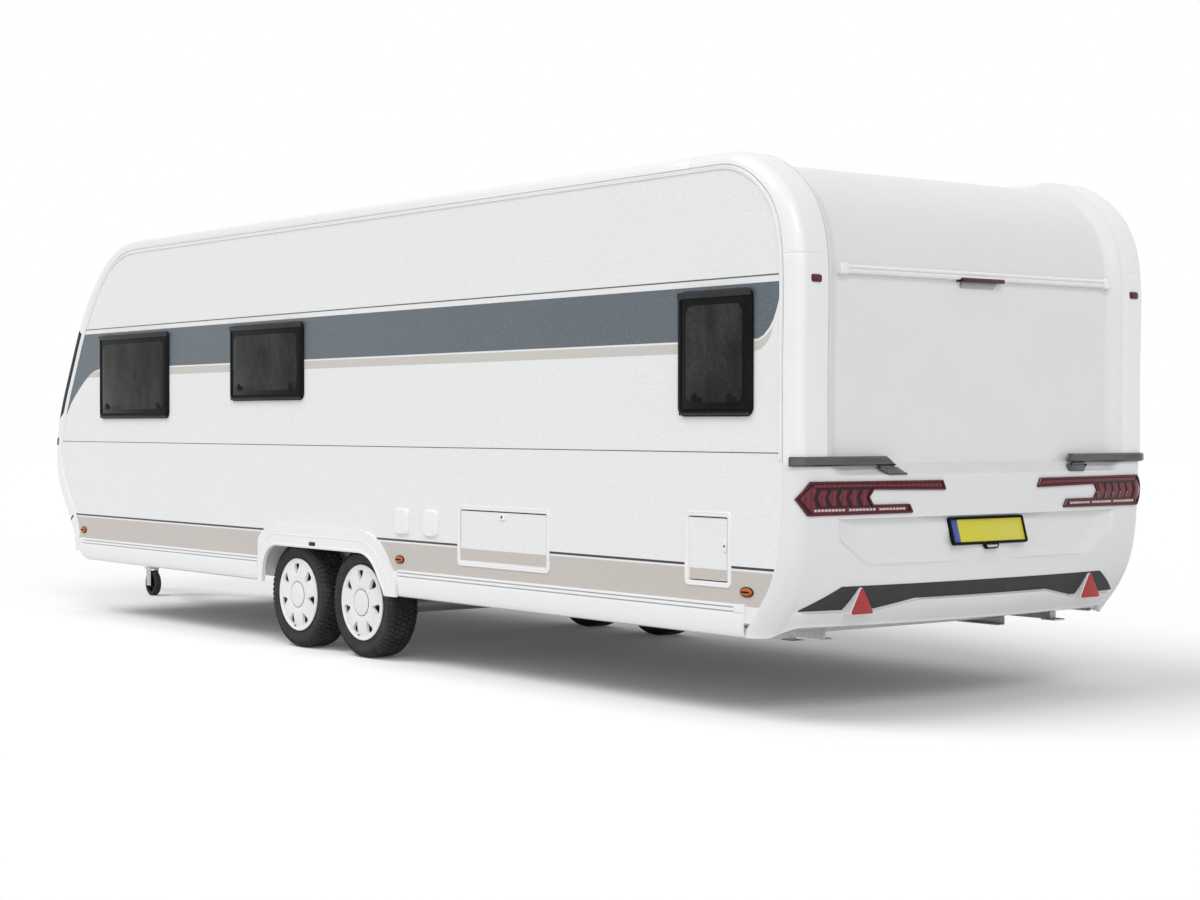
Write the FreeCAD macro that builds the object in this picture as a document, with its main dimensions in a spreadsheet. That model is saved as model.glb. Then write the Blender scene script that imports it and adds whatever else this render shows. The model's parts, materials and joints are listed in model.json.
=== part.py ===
import FreeCAD, Part
import math
import os
import re

from FreeCAD import Vector

# Travel caravan with twin axles, parked on its jockey wheel.
# +X points forward to the coupling, +Y to the left side, +Z up, millimetres.
# The origin is on the ground, under the middle of the whole length.

SIZES = {
    # Whole body
    "body_length": 7960,
    "body_width": 2500,
    "rear_reach": 75,
    "drawbar_reach": 1220,
    "wall": 32,
    "skin": 30,
    "floor_top": 505,
    "floor_thick": 44,
    "roof_line": 2593,
    "edge_front": 100,
    "edge_rear": 94,
    "edge_roof": 67,
    "corner_round": 104,
    "edge_round": 72,
    "crease_inner": 24,
    "frame_width": 200,
    "nose_bulge": 110,
    "rear_bulge": 55,
    "bumper_foot": 432,
    "bumper_lip": 440,
    "foot_bulge": 48,
    "foot_bulge_top": 760,
    "foot_bulge_run": 160,
    "lip_proud": 18,
    "lip_top": 518,
    "lip_rise": 46,
    "lip_kink_in": 470,
    "lip_kink_out": 700,
    "rear_recess": 45,
    "bevel": 92,
    "roof_sink": 30,
    # Openings in the walls
    "window_top": 2012,
    "window_sill": 1417,
    "window_lap": 22,
    "window_proud": 22,
    "window_round": 45,
    "pane_thick": 8,
    "front_window_inset": 45,
    "front_window_top": 2035,
    "front_window_sill": 1365,
    "rear_window_from": 280,
    "rear_window_width": 515,
    "middle_window_ahead": 240,
    "middle_window_width": 905,
    "middle_window_sill": 1527,
    "front_window_back": 870,
    "side_window_width": 1050,
    "right_window_from": 880,
    "kitchen_window_behind": 625,
    "door_ahead": 119,
    "door_to_window": 480,
    "door_width": 640,
    "door_top": 2290,
    "door_gap": 6,
    "door_pane_inset": 130,
    "door_pane_sill": 1380,
    "door_pane_top": 1990,
    "door_pane_round": 60,
    "door_pane_proud": 4,
    "seat_play": 0.3,
    "edge_seat": 0.5,
    "hatch_behind": 596,
    "hatch_width": 825,
    "hatch_sill": 605,
    "hatch_top": 937,
    "toilet_hatch_from": 428,
    "toilet_hatch_width": 325,
    "toilet_hatch_sill": 617,
    "toilet_hatch_top": 970,
    "hatch_frame": 24,
    "flap_behind": 113,
    "flap_pitch": 288,
    "flap_width": 134,
    "flap_height": 148,
    "flap_foot": 752,
    "flap_proud": 16,
    "vent_behind": 90,
    "vent_width": 480,
    "vent_height": 240,
    "vent_low": 880,
    "vent_high": 1560,
    "vent_proud": 12,
    "frame_proud": 5,
    # Rear end
    "ledge_top": 1195,
    "ledge_drop": 48,
    "ledge_run": 100,
    "ledge_inset": 305,
    "recess_top": 948,
    "recess_foot": 722,
    "recess_inset": 70,
    "recess_taper": 180,
    "recess_rim": 6,
    "recess_deep": 6,
    "recess_foot_out": 30,
    "lamp_proud": 14,
    "handle_gap": 22,
    "handle_thick": 18,
    "handle_top": 1262,
    "handle_wrap": 28,
    "triangle_proud": 36,
    "insert_thick": 4,
    "rear_rail_height": 2095,
    "rear_rail_depth": 40,
    "rear_rail_inset": 115,
    "rear_rail_thick": 44,
    "brake_lamp_width": 330,
    "brake_lamp_thick": 20,
    "brake_lamp_drop": 11,
    "brake_lamp_proud": 12,
    "marker_inset": 117,
    "marker_width": 56,
    "marker_height": 36,
    "marker_drop": 55,
    "marker_proud": 16,
    "amber_diameter": 64,
    "amber_proud": 12,
    "amber_height": 606,
    "amber_front_back": 578,
    "amber_arch_back": 20,
    "amber_rear_from": 323,
    "rear_seam": 2200,
    "plate_width": 532,
    "plate_height": 130,
    "plate_thick": 12,
    "plate_foot": 806,
    # Skirts and arches
    "skirt_bottom": 390,
    "skirt_thick": 14,
    "rail_top": 548,
    "arch_proud": 24,
    "arch_liner": 12,
    "arch_clear": 45,
    "arch_top": 626,
    "arch_rear_lap": 7,
    "arch_front_gap": 13,
    "arch_room": 60,
    "arch_band": 134,
    "arch_band_rear": 112,
    "arch_band_front": 66,
    # Wheels
    "tyre_diameter": 654,
    "tyre_width": 194,
    "rim_diameter": 448,
    "wheel_inset": 125,
    "axle_ahead": 50,
    "axle_pitch": 730,
    "hub_bore": 60,
    "hub_play": 0.3,
    "cap_ring": 164,
    "cap_hole_in": 126,
    "cap_hole_out": 190,
    "cap_hole_width": 56,
    "cap_hole_depth": 12,
    # Running gear
    "rail_spacing": 1300,
    "rail_height": 119,
    "rail_flange": 50,
    "rail_sheet": 6,
    "rail_rear_gap": 420,
    "rail_front_gap": 560,
    "cross_inset": 80,
    "cross_pitch": 1150,
    "axle_tube": 110,
    "arm_lead": 165,
    "drum_diameter": 250,
    "beam_height": 110,
    "beam_width": 50,
    "beam_lap": 650,
    "beam_inset": 145,
    "apex_half": 40,
    "apex_back": 600,
    "apex_tie": 260,
    "beam_bottom": 312,
    "coupling_height": 430,
    "overrun_diameter": 64,
    "ball_diameter": 50,
    "ball_back": 62,
    "jockey_side": 130,
    "jockey_back": 700,
    "jockey_trail": 60,
    "jockey_wheel": 200,
    "jockey_width": 50,
    "jockey_tube": 60,
    "steady_inset": 313,
    "steady_from": 345,
    "steady_back": 1500,
    "steady_length": 470,
    "steady_height": 385,
    # Front locker and roof
    "lid_inset": 270,
    "lid_sill": 745,
    "lid_top": 1262,
    "lid_gap": 7,
    "bulkhead_back": 900,
    "rooflight_from": 3050,
    "rooflight_length": 700,
    "rooflight_width": 500,
    "rooflight_flange": 40,
}

doc = FreeCAD.newDocument("Caravan")
sheet = doc.addObject("Spreadsheet::Sheet", "Sizes")
for row, (alias, number) in enumerate(SIZES.items(), start=1):
    sheet.set("A%d" % row, alias.replace("_", " "))
    sheet.set("B%d" % row, str(number))
    sheet.setAlias("B%d" % row, alias)
doc.recompute()


def size(alias):
    """A driving size, read from the sheet."""
    return float(getattr(sheet, alias))


def bound(words):
    """An expression on the sheet's sizes, from plain words such as 'body_length - wall'."""
    return re.sub(r"\b([a-z]+(?:_[a-z]+)*)\b", r"Sizes.\1", words)


def bind(item, prop, words):
    """Bind one property to an expression on the sheet's sizes."""
    item.setExpression(prop, bound(words))


OVERALL = "(rear_reach + body_length + drawbar_reach)"
REAR = "(rear_reach - %s / 2)" % OVERALL
FRONT = "(%s + body_length)" % REAR
overall_length = size("rear_reach") + size("body_length") + size("drawbar_reach")
rear_x = size("rear_reach") - overall_length / 2
front_x = rear_x + size("body_length")
coupling_nose_x = front_x + size("drawbar_reach")
half_width = size("body_width") / 2
wall = size("wall")
skin = size("skin")
roof_line = size("roof_line")
floor_bottom = size("floor_top") - size("floor_thick")
moulding_y = half_width - size("frame_width")
wheel_y = half_width - size("wheel_inset")
tyre_r = size("tyre_diameter") / 2
axle_middle = rear_x + size("body_length") / 2 + size("axle_ahead")
hub_places = [axle_middle - size("axle_pitch") / 2, axle_middle + size("axle_pitch") / 2]
arch_x0 = hub_places[0] - tyre_r + size("arch_rear_lap")
arch_x1 = hub_places[1] + tyre_r + size("arch_front_gap")
arch_rear_x = arch_x0 - size("arch_band_rear")
arch_front_x = arch_x1 + size("arch_band_front")
door_x0 = arch_front_x + size("door_ahead")
door_x1 = door_x0 + size("door_width")

parts = {}


def keep(label, item):
    """Register an object as the sub-part that its label names."""
    item.Label = label
    parts[label] = item
    return item


def feature(label, shape):
    """A sub-part whose shape comes from Part's own functions."""
    item = doc.addObject("Part::Feature", label)
    item.Shape = shape
    return keep(label, item)


def box(name, low, span):
    """A block whose corner and edges are expressions."""
    item = doc.addObject("Part::Box", name)
    for prop, words in zip(("Length", "Width", "Height"), span):
        bind(item, prop, words)
    for axis, words in zip("xyz", low):
        bind(item, "Placement.Base." + axis, words)
    return item


def fuse(name, items):
    """One object joined from several."""
    item = doc.addObject("Part::MultiFuse", name)
    item.Shapes = items
    return item


def cut(name, base, tool):
    """One object with another taken out."""
    item = doc.addObject("Part::Cut", name)
    item.Base = base
    item.Tool = tool
    return item


def group(label, shapes):
    """Several separate solids under one label."""
    return feature(label, Part.makeCompound(shapes))


def block(x0, x1, y0, y1, z0, z1):
    """A block between two corners."""
    return Part.makeBox(x1 - x0, y1 - y0, z1 - z0, Vector(x0, y0, z0))


def mirrored(shape):
    """The same shape on the other side of the caravan."""
    return shape.mirror(Vector(), Vector(0, 1, 0))


def smooth(points):
    """An edge through the points: a line for two, a smooth curve for more."""
    vectors = [Vector(*p) for p in points]
    if len(vectors) == 2:
        return Part.LineSegment(*vectors).toShape()
    curve = Part.BSplineCurve()
    curve.interpolate(vectors)
    return curve.toShape()


def rounded(u0, v0, u1, v1, radius):
    """The edges of a rounded rectangle, as line and arc geometry in a plane."""
    k = radius * (1 - math.sqrt(0.5))
    corners = [(u1 - radius, v0, u1, v0 + radius, u1 - k, v0 + k),
               (u1, v1 - radius, u1 - radius, v1, u1 - k, v1 - k),
               (u0 + radius, v1, u0, v1 - radius, u0 + k, v1 - k),
               (u0, v0 + radius, u0 + radius, v0, u0 + k, v0 + k)]
    shapes = []
    for index, (a, b, c, d, e, f) in enumerate(corners):
        shapes.append(Part.Arc(Vector(a, b), Vector(e, f), Vector(c, d)))
        following = corners[(index + 1) % 4]
        shapes.append(Part.LineSegment(Vector(c, d), Vector(following[0], following[1])))
    return shapes


def softened(corners):
    """Line and arc geometry of a closed outline from (u, v, radius) corners."""
    spans = []
    count = len(corners)
    for index, (u, v, radius) in enumerate(corners):
        here = Vector(u, v)
        before = Vector(*corners[index - 1][:2]) - here
        after = Vector(*corners[(index + 1) % count][:2]) - here
        if radius == 0:
            spans.append((here, None, here))
            continue
        half = before.getAngle(after) / 2
        reach = radius / math.tan(half)
        before.normalize()
        after.normalize()
        axis = (before + after).normalize()
        middle = here + axis * (radius / math.sin(half) - radius)
        spans.append((here + before * reach, middle, here + after * reach))
    shapes = []
    for index, (start, middle, end) in enumerate(spans):
        if middle is not None:
            shapes.append(Part.Arc(start, middle, end))
        shapes.append(Part.LineSegment(end, spans[(index + 1) % count][0]))
    return shapes


def polygon(points):
    """The line geometry of a closed outline in a plane."""
    closed = list(points) + [points[0]]
    return [Part.LineSegment(Vector(*a), Vector(*b)) for a, b in zip(closed, closed[1:])]


PLANES = {"XY": "XY_Plane", "XZ": "XZ_Plane", "YZ": "YZ_Plane"}


def sketched_body(label, plane, geometry):
    """A body with one sketch on one of its own origin planes."""
    body = doc.addObject("PartDesign::Body", label)
    sketch = body.newObject("Sketcher::SketchObject", label + "_outline")
    origin_planes = body.Origin.OriginFeatures
    support = [p for p in origin_planes if p.Role == PLANES[plane]][0]
    sketch.AttachmentSupport = [(support, "")]
    sketch.MapMode = "FlatFace"
    for item in geometry:
        sketch.addGeometry(item, False)
    return body, sketch


def padded(label, plane, geometry, length, place):
    """A padded outline; its length and its body's place are expressions."""
    body, sketch = sketched_body(label, plane, geometry)
    pad = body.newObject("PartDesign::Pad", label + "_pad")
    pad.Profile = sketch
    bind(pad, "Length", length)
    body.Tip = pad
    for axis, words in zip("xyz", place):
        bind(body, "Placement.Base." + axis, words)
    return body


def turned(label, geometry, place):
    """An outline in the YZ plane turned round its own Y line."""
    body, sketch = sketched_body(label, "YZ", geometry)
    turn = body.newObject("PartDesign::Revolution", label + "_turn")
    turn.Profile = sketch
    turn.ReferenceAxis = (sketch, ["H_Axis"])
    turn.Angle = 360
    body.Tip = turn
    for axis, words in zip("xyz", place):
        bind(body, "Placement.Base." + axis, words)
    return body


def extruded(geometry, plane, start, end):
    """A solid between two positions along the axis that the plane faces."""
    to_space = {"XZ": lambda v: Vector(v.x, start, v.y),
                "YZ": lambda v: Vector(start, v.x, v.y)}[plane]
    along = {"XZ": Vector(0, end - start, 0), "YZ": Vector(end - start, 0, 0)}[plane]
    edges = []
    for item in geometry:
        if isinstance(item, Part.Arc) or isinstance(item, Part.ArcOfCircle):
            shape = item.toShape()
            ends = [shape.valueAt(shape.FirstParameter),
                    shape.valueAt((shape.FirstParameter + shape.LastParameter) / 2),
                    shape.valueAt(shape.LastParameter)]
            edges.append(Part.Arc(*[to_space(p) for p in ends]).toShape())
        elif isinstance(item, Part.LineSegment):
            edges.append(Part.LineSegment(to_space(item.StartPoint), to_space(item.EndPoint)).toShape())
        else:
            poles = [to_space(p) for p in item.getPoles()]
            curve = item.copy()
            for index, pole in enumerate(poles, start=1):
                curve.setPole(index, pole)
            edges.append(curve.toShape())
    return Part.Face(Part.Wire(Part.__sortEdges__(edges))).extrude(along)


# The rim is the edge line of both side walls, seen from the side: up the rear, along the roof
# and down the front. Rear points are measured from the rear face, front points from the nose.

REAR_RIM = [(330, 425), (250, 525), (180, 620), (138, 715), (104, 930), (94, 1200),
            (94, 1700), (94, 2130), (152, 2378), (309, 2535), (524, 0)]
FRONT_RIM = [(1510, 0), (1210, -23), (1000, -108), (760, 2270), (600, 2060), (430, 1764),
             (274, 1468), (203, 1252), (210, 1030), (320, 850), (425, 716), (495, 560), (515, 425)]


def rim_points(table, start, sign):
    """Rim points in space; heights at or below zero are measured from the roof line."""
    points = []
    for along, height in table:
        level = height if height > 0 else roof_line + height
        points.append(Vector(start + sign * along, 0, level))
    return points


def rim_curve(table, start, sign, first_tangent, last_tangent):
    """The smooth curve through one end's rim points."""
    curve = Part.BSplineCurve()
    curve.interpolate(Points=rim_points(table, start, sign),
                      InitialTangent=first_tangent, FinalTangent=last_tangent)
    return curve


rear_rim = rim_curve(REAR_RIM, rear_x, 1, Vector(-0.7, 0, 1), Vector(1, 0, 0))
front_rim = rim_curve(FRONT_RIM, front_x, -1, Vector(1, 0, 0), Vector(-0.1, 0, -1))
roof_start = rear_x + REAR_RIM[-1][0]
roof_end = front_x - FRONT_RIM[0][0]


class Station:
    """A place on the rim: its point, and the direction that points out of the body."""

    def __init__(self, point, tangent):
        self.point = point
        self.out = Vector(-tangent.z, 0, tangent.x).normalize()

    def at(self, y, out):
        """The point at a distance out from the rim, at side position y."""
        spot = self.point + self.out * out
        return (spot.x, y, spot.z)


def station(curve, u):
    """The station at one parameter of a rim curve."""
    return Station(curve.value(u), curve.tangent(u)[0])


def parameter_at(curve, z):
    """The parameter where a rim curve passes a height."""
    low, high = curve.FirstParameter, curve.LastParameter
    rising = curve.value(high).z > curve.value(low).z
    for _ in range(40):
        middle = (low + high) / 2
        if (curve.value(middle).z < z) == rising:
            low = middle
        else:
            high = middle
    return (low + high) / 2


def stations(curve, first, last, count):
    """Evenly spaced stations between two parameters of a rim curve."""
    step = (last - first) / (count - 1)
    return [station(curve, first + step * i) for i in range(count)]


def roof_stations(first, last, count=3):
    """Stations along the straight roof."""
    step = (last - first) / (count - 1)
    return [Station(Vector(first + step * i, 0, roof_line), Vector(1, 0, 0)) for i in range(count)]


def section(place, runs):
    """A closed wire across the body at one station, from runs of (y, out) points."""
    return Part.Wire([smooth([place.at(y, out) for y, out in run]) for run in runs])


def lofted(wires):
    """A solid through closed wires."""
    return Part.makeLoft(wires, True, False)


def blend(a, b, t):
    """A smooth step from a to b."""
    t = min(max(t, 0.0), 1.0)
    return a + (b - a) * t * t * (3 - 2 * t)


corner = size("corner_round")
corner_y = half_width - corner
seat = size("edge_seat")


def moulding_section(place, edge):
    """A corner moulding: a round outer face up to a crease, with a flange inside that meets the wall."""
    crease_y = half_width - size("edge_round")
    arc = [(crease_y + size("edge_round") * math.cos(a), seat + (edge - seat) * math.sin(a))
           for a in (math.radians(d) for d in (0, 30, 60, 90))]
    inner = edge - skin
    foot = half_width - wall
    bend = crease_y - size("crease_inner")
    return section(place, [arc, [(crease_y, edge), (moulding_y, edge)],
                           [(moulding_y, edge), (moulding_y, inner)],
                           [(moulding_y, inner), (bend, inner)],
                           [(bend, inner), (foot, seat)], [(foot, seat), (half_width, seat)]])


def edge_out(place):
    """How far the mouldings stand out from the rim, at the rear, along the roof and in front."""
    if place.point.x <= roof_start:
        share = (place.point.z - 2130) / (roof_line - 2130)
        return blend(size("edge_rear"), size("edge_roof"), share)
    if place.point.x >= roof_end:
        share = (roof_line - place.point.z) / 500
        return blend(size("edge_roof"), size("edge_front"), share)
    return size("edge_roof")


def centre_out(place, y):
    """How far the middle of the body stands out beyond its mouldings at side position y."""
    bow = 1 - (y / corner_y) ** 2
    if place.point.x >= roof_end:
        share = (roof_line - place.point.z) / 900
        sink = blend(-size("roof_sink"), 0, (place.point.x - roof_end) / 350)
        return blend(0, size("nose_bulge"), share) * bow + sink * (1 if abs(y) < moulding_y - 60 else 0)
    return 0


MARKS = [-1, -0.85, -0.6, -0.3, 0, 0.3, 0.6, 0.85, 1]


def front_section(place, low, high):
    """Across the front at one station: bowed between the mouldings, from low to high out."""
    edge = edge_out(place)
    ys = [moulding_y * m for m in MARKS]
    outer = [(y, edge + high + centre_out(place, y)) for y in ys]
    inner = [(y, edge + low + centre_out(place, y)) for y in reversed(ys)]
    return section(place, [outer, [outer[-1], inner[0]], inner, [inner[-1], outer[0]]])


def front_skin(z_top, z_foot, low, high, count):
    """The bowed front between two heights."""
    first, last = parameter_at(front_rim, z_top), parameter_at(front_rim, z_foot)
    return lofted([front_section(p, low, high) for p in stations(front_rim, first, last, count)])


def sunk_section(place, sink):
    """Across the roof or upper rear: a middle set in behind two bevels."""
    edge = edge_out(place)
    foot = moulding_y - size("bevel")
    outer = [(-moulding_y, edge), (-foot, edge - sink), (foot, edge - sink), (moulding_y, edge)]
    inner = [(moulding_y, edge - skin), (foot, edge - skin - sink),
             (-foot, edge - skin - sink), (-moulding_y, edge - skin)]
    ring = outer + inner
    runs = [[a, b] for a, b in zip(ring, ring[1:] + ring[:1])]
    return section(place, runs)


def bumper_points(edge, bulge, out):
    """Half a section of the lower rear, from its middle round the corner, offset by out."""
    flat = [(corner_y * m, edge + bulge * (1 - m * m) + out) for m in (0, 0.35, 0.7)]
    turn = [(corner_y + (corner + out) * math.cos(a), seat + (edge + out - seat) * math.sin(a))
            for a in (math.radians(d) for d in (85, 60, 35, 12, 0))]
    return flat + turn


def bumper_section(place, low, high):
    """Across the lower rear at one station, round both corners to the walls."""
    edge = size("edge_rear")
    low_share = (size("foot_bulge_top") - place.point.z) / size("foot_bulge_run")
    bulge = size("rear_bulge") + blend(0, size("foot_bulge"), low_share)
    half_out = bumper_points(edge, bulge, high)
    half_in = bumper_points(edge, bulge, low)
    outer = [(-y, e) for y, e in reversed(half_out)] + half_out[1:]
    inner = list(reversed([(-y, e) for y, e in reversed(half_in)] + half_in[1:]))
    return section(place, [outer, [outer[-1], inner[0]], inner, [inner[-1], outer[0]]])


def rear_skin(low, high, top=size("ledge_top")):
    """The lower rear from its foot to the ledge or another top, from low to high out."""
    first, last = parameter_at(rear_rim, size("bumper_foot")), parameter_at(rear_rim, top)
    return lofted([bumper_section(p, low, high) for p in stations(rear_rim, first, last, 11)])


def through_x(geometry, x0, x1):
    """A prism along the caravan from an outline in side and height."""
    return extruded(geometry, "YZ", x0, x1)


# Side walls

def wall_geometry():
    """The wall's outline in the side view, closed along its foot."""
    first = parameter_at(rear_rim, floor_bottom)
    last = parameter_at(front_rim, floor_bottom)
    rear, front = rear_rim.copy(), front_rim.copy()
    rear.segment(first, rear_rim.LastParameter)
    front.segment(front_rim.FirstParameter, last)
    flat = []
    for curve in (rear, front):
        level = curve.copy()
        for index, pole in enumerate(curve.getPoles(), start=1):
            level.setPole(index, Vector(pole.x, pole.z, 0))
        flat.append(level)
    roof = Part.LineSegment(flat[0].EndPoint, flat[1].StartPoint)
    foot = Part.LineSegment(flat[1].EndPoint, flat[0].StartPoint)
    return [flat[0], roof, flat[1], foot]


middle_width = size("middle_window_width")
front_window_end = front_x - size("front_window_back")
kitchen_window_x = axle_middle - size("kitchen_window_behind") - middle_width
door_window_x = door_x1 + size("door_to_window")
left_windows = [
    (rear_x + size("rear_window_from"), size("rear_window_width"), size("window_sill")),
    (axle_middle + size("middle_window_ahead"), middle_width, size("middle_window_sill")),
    (front_window_end - size("side_window_width"), size("side_window_width"), size("window_sill")),
]
right_windows = [
    (rear_x + size("right_window_from"), size("rear_window_width"), size("window_sill")),
    (kitchen_window_x, middle_width, size("middle_window_sill")),
    (door_window_x, front_window_end - door_window_x, size("window_sill")),
]
lap = size("window_lap")
window_round = size("window_round")


def window_cuts(windows):
    """Openings in a wall, set in from the window frames by their lap."""
    cuts = []
    for x, width, sill in windows:
        cuts += rounded(x + lap, sill + lap, x + width - lap, size("window_top") - lap, window_round)
    return cuts


def arch_curve(offset):
    """The wheel opening's outline, closed under the skirt and widened by an offset."""
    low_z = size("skirt_bottom") - 120
    top = size("arch_top")
    outline = softened([(arch_x0, low_z, 0), (arch_x0, size("skirt_bottom") + 10, 120),
                        (arch_x0 + 165, top, 230), (arch_x1 - 10, top, 170), (arch_x1 + 30, low_z, 0)])
    edges = [Part.Edge(item) for item in outline]
    for edge in edges:
        edge.rotate(Vector(), Vector(1, 0, 0), 90)
    wire = Part.Wire(Part.__sortEdges__(edges))
    if offset:
        wire = wire.makeOffset2D(offset)
    return wire


def arch_prism(offset, y0, y1, foot):
    """The wheel opening as a solid between two side positions, cut off level at its foot."""
    solid = Part.Face(arch_curve(offset)).extrude(Vector(0, y1 - y0, 0))
    solid.translate(Vector(0, y0, 0))
    box_above = solid.BoundBox
    return solid.common(block(box_above.XMin - 10, box_above.XMax + 10, y0, y1, foot, box_above.ZMax + 10))


liner_out = size("arch_clear") + size("arch_liner")
arch_inner_y = wheel_y - size("tyre_width") / 2 - size("arch_room")
hatches = [
    ("hatch_front", arch_rear_x - size("hatch_behind") - size("hatch_width"), size("hatch_width"),
     size("hatch_sill"), size("hatch_top")),
    ("hatch_rear", rear_x + size("toilet_hatch_from"), size("toilet_hatch_width"),
     size("toilet_hatch_sill"), size("toilet_hatch_top")),
]
frame_band = size("hatch_frame")
hatch_cuts = []
for _, x, width, sill, top in hatches:
    hatch_cuts += rounded(x + frame_band, sill + frame_band, x + width - frame_band, top - frame_band, 14)

door_foot = size("rail_top") + size("door_gap")
door_cut = rounded(door_x0, door_foot, door_x1, size("door_top"), 60)

left_plain = padded("side_wall_left_plain", "XZ", wall_geometry() + window_cuts(left_windows) + hatch_cuts,
                    "wall", ("0", "body_width / 2", "0"))
right_plain = padded("side_wall_right_plain", "XZ", wall_geometry() + window_cuts(right_windows) + door_cut,
                     "wall", ("0", "wall - body_width / 2", "0"))
left_arch_cut = doc.addObject("Part::Feature", "left_arch_cut")
left_arch_cut.Shape = arch_prism(liner_out, arch_inner_y, half_width + 40, 200)
right_arch_cut = doc.addObject("Part::Feature", "right_arch_cut")
right_arch_cut.Shape = mirrored(left_arch_cut.Shape)
keep("side_wall_left", cut("side_wall_left", left_plain, left_arch_cut))
keep("side_wall_right", cut("side_wall_right", right_plain, right_arch_cut))

# Floor, with the wheel boxes cut out

floor_plain = box("floor_plain", (REAR + " + 345", "wall - body_width / 2", "floor_top - floor_thick"),
                  ("body_length - 345 - 520", "body_width - 2 * wall", "floor_thick"))
locker_floor = box("locker_floor", (FRONT + " - 540", "frame_width - body_width / 2", "floor_top - floor_thick"),
                   ("95", "body_width - 2 * frame_width", "floor_thick"))
arch_cuts = fuse("arch_cuts", [left_arch_cut, right_arch_cut])
keep("floor", cut("floor", fuse("floor_boards", [floor_plain, locker_floor]), arch_cuts))

# Wheel arches: an outer band round each opening and a housing behind it


def arch_solids():
    """The left arch: the outer band, and the housing that reaches in over the wheels."""
    foot = size("skirt_bottom")
    outer_y = half_width + size("arch_proud")
    band = arch_prism(size("arch_band"), half_width, outer_y, foot)
    band = band.common(block(arch_rear_x, arch_front_x, half_width, outer_y, foot, 2000))
    band = band.cut(arch_prism(0, half_width, outer_y, foot))
    shell = arch_prism(liner_out, arch_inner_y, half_width, floor_bottom)
    hollow = arch_prism(size("arch_clear"), arch_inner_y + size("arch_liner"), half_width, floor_bottom)
    return band.fuse(shell.cut(hollow)).removeSplitter()


left_arch = arch_solids()
group("wheel_arches", [left_arch, mirrored(left_arch)])

# Skirts with the rail along their top

def skirt_geometry(side):
    """A skirt's section: rail at the top, a slack face and a lip turned under."""
    face = half_width * side
    foot = size("skirt_bottom")
    top = size("rail_top")
    thick = size("skirt_thick") * side
    points = [(face, top), (face + 0.8 * thick, top), (face + 0.8 * thick, top - 12),
              (face + 0.4 * thick, top - 16), (face + 0.8 * thick, top - 20),
              (face + 0.8 * thick, top - 34), (face + 0.4 * thick, top - 38),
              (face + 0.9 * thick, top - 44), (face + thick, top - 80), (face + 0.7 * thick, foot + 32),
              (face - 0.4 * thick, foot + 8), (face - 2.2 * thick, foot),
              (face - 2.2 * thick, foot + 6), (face - 0.8 * thick, foot + 18),
              (face - 0.1 * thick, foot + 42), (face, floor_bottom)]
    return polygon(points)


skirt_rear_start = rear_x + 340
skirt_front_end = front_x - 520
skirts = []
for side in (1, -1):
    outline = skirt_geometry(side)
    skirts.append(through_x(outline, skirt_rear_start, arch_rear_x - 1))
    skirts.append(through_x(outline, arch_front_x + 1, skirt_front_end))
group("skirts", skirts)

# Corner mouldings in three lengths each side

rear_seam = parameter_at(rear_rim, size("rear_seam"))
rear_foot = parameter_at(rear_rim, size("ledge_top"))
front_foot = parameter_at(front_rim, floor_bottom)
front_seam = parameter_at(front_rim, roof_line - 60)


def moulding(places):
    """One length of corner moulding."""
    return lofted([moulding_section(p, edge_out(p)) for p in places])


rear_length = moulding(stations(rear_rim, rear_foot, rear_seam, 5))
roof_rear = moulding(stations(rear_rim, rear_seam + 0.002, rear_rim.LastParameter, 7))
roof_middle = moulding(roof_stations(roof_start, roof_end, 2))
roof_front = moulding(stations(front_rim, front_rim.FirstParameter, front_seam, 4))
front_length = moulding(stations(front_rim, front_seam + 0.002, front_foot, 22))
roof_length = roof_rear.fuse([roof_middle, roof_front]).removeSplitter()
left_mouldings = [rear_length, roof_length, front_length]
group("edge_moulding_left", left_mouldings)
group("edge_moulding_right", [mirrored(s) for s in left_mouldings])

# Roof, with the rooflight cut out

roof_plain = lofted([sunk_section(p, size("rear_recess") - (size("rear_recess") - size("roof_sink")) * k)
                     for k, p in zip((0, 1), roof_stations(roof_start, roof_end, 2))])
light_x = rear_x + size("rooflight_from")
light_y = size("rooflight_width") / 2
light_hole = block(light_x, light_x + size("rooflight_length"), -light_y, light_y,
                   roof_line - 200, roof_line + 200)
feature("roof_panel", roof_plain.cut(light_hole))

# Upper rear, set in between the mouldings

rear_places = stations(rear_rim, rear_foot, rear_rim.LastParameter, 12)
feature("rear_panel", lofted([sunk_section(p, size("rear_recess")) for p in rear_places]))

# Front panel with its window opening, and the nose below it with the locker opening

nose_top = 1290
front_top = parameter_at(front_rim, nose_top)
front_outer = front_skin(nose_top, floor_bottom, -skin, 0, 8)
front_places = stations(front_rim, front_rim.FirstParameter, front_top, 12)
upper = lofted([front_section(p, -skin, 0) for p in front_places])


def front_outline(inset):
    """The front window's outline, drawn in by an inset."""
    half = moulding_y - size("front_window_inset") - inset
    return rounded(-half, size("front_window_sill") + inset, half, size("front_window_top") - inset, 90)


front_reach = front_x + 400
front_inside = front_x - 1500
feature("front_panel", upper.cut(through_x(front_outline(30), front_inside, front_reach)))


def lid_outline(gap, top_gap):
    """The locker lid's outline, drawn in by a gap, with a gap of its own along the hinged top."""
    half = moulding_y - size("lid_inset") - gap
    return rounded(-half, size("lid_sill") + gap, half, size("lid_top") - top_gap, 60)


feature("front_nose", front_outer.cut(through_x(lid_outline(0, 0), front_inside, front_reach)))
lid_edge = through_x(lid_outline(size("lid_gap"), size("seat_play")), front_inside, front_reach)
feature("locker_lid", front_outer.common(lid_edge))

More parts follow.
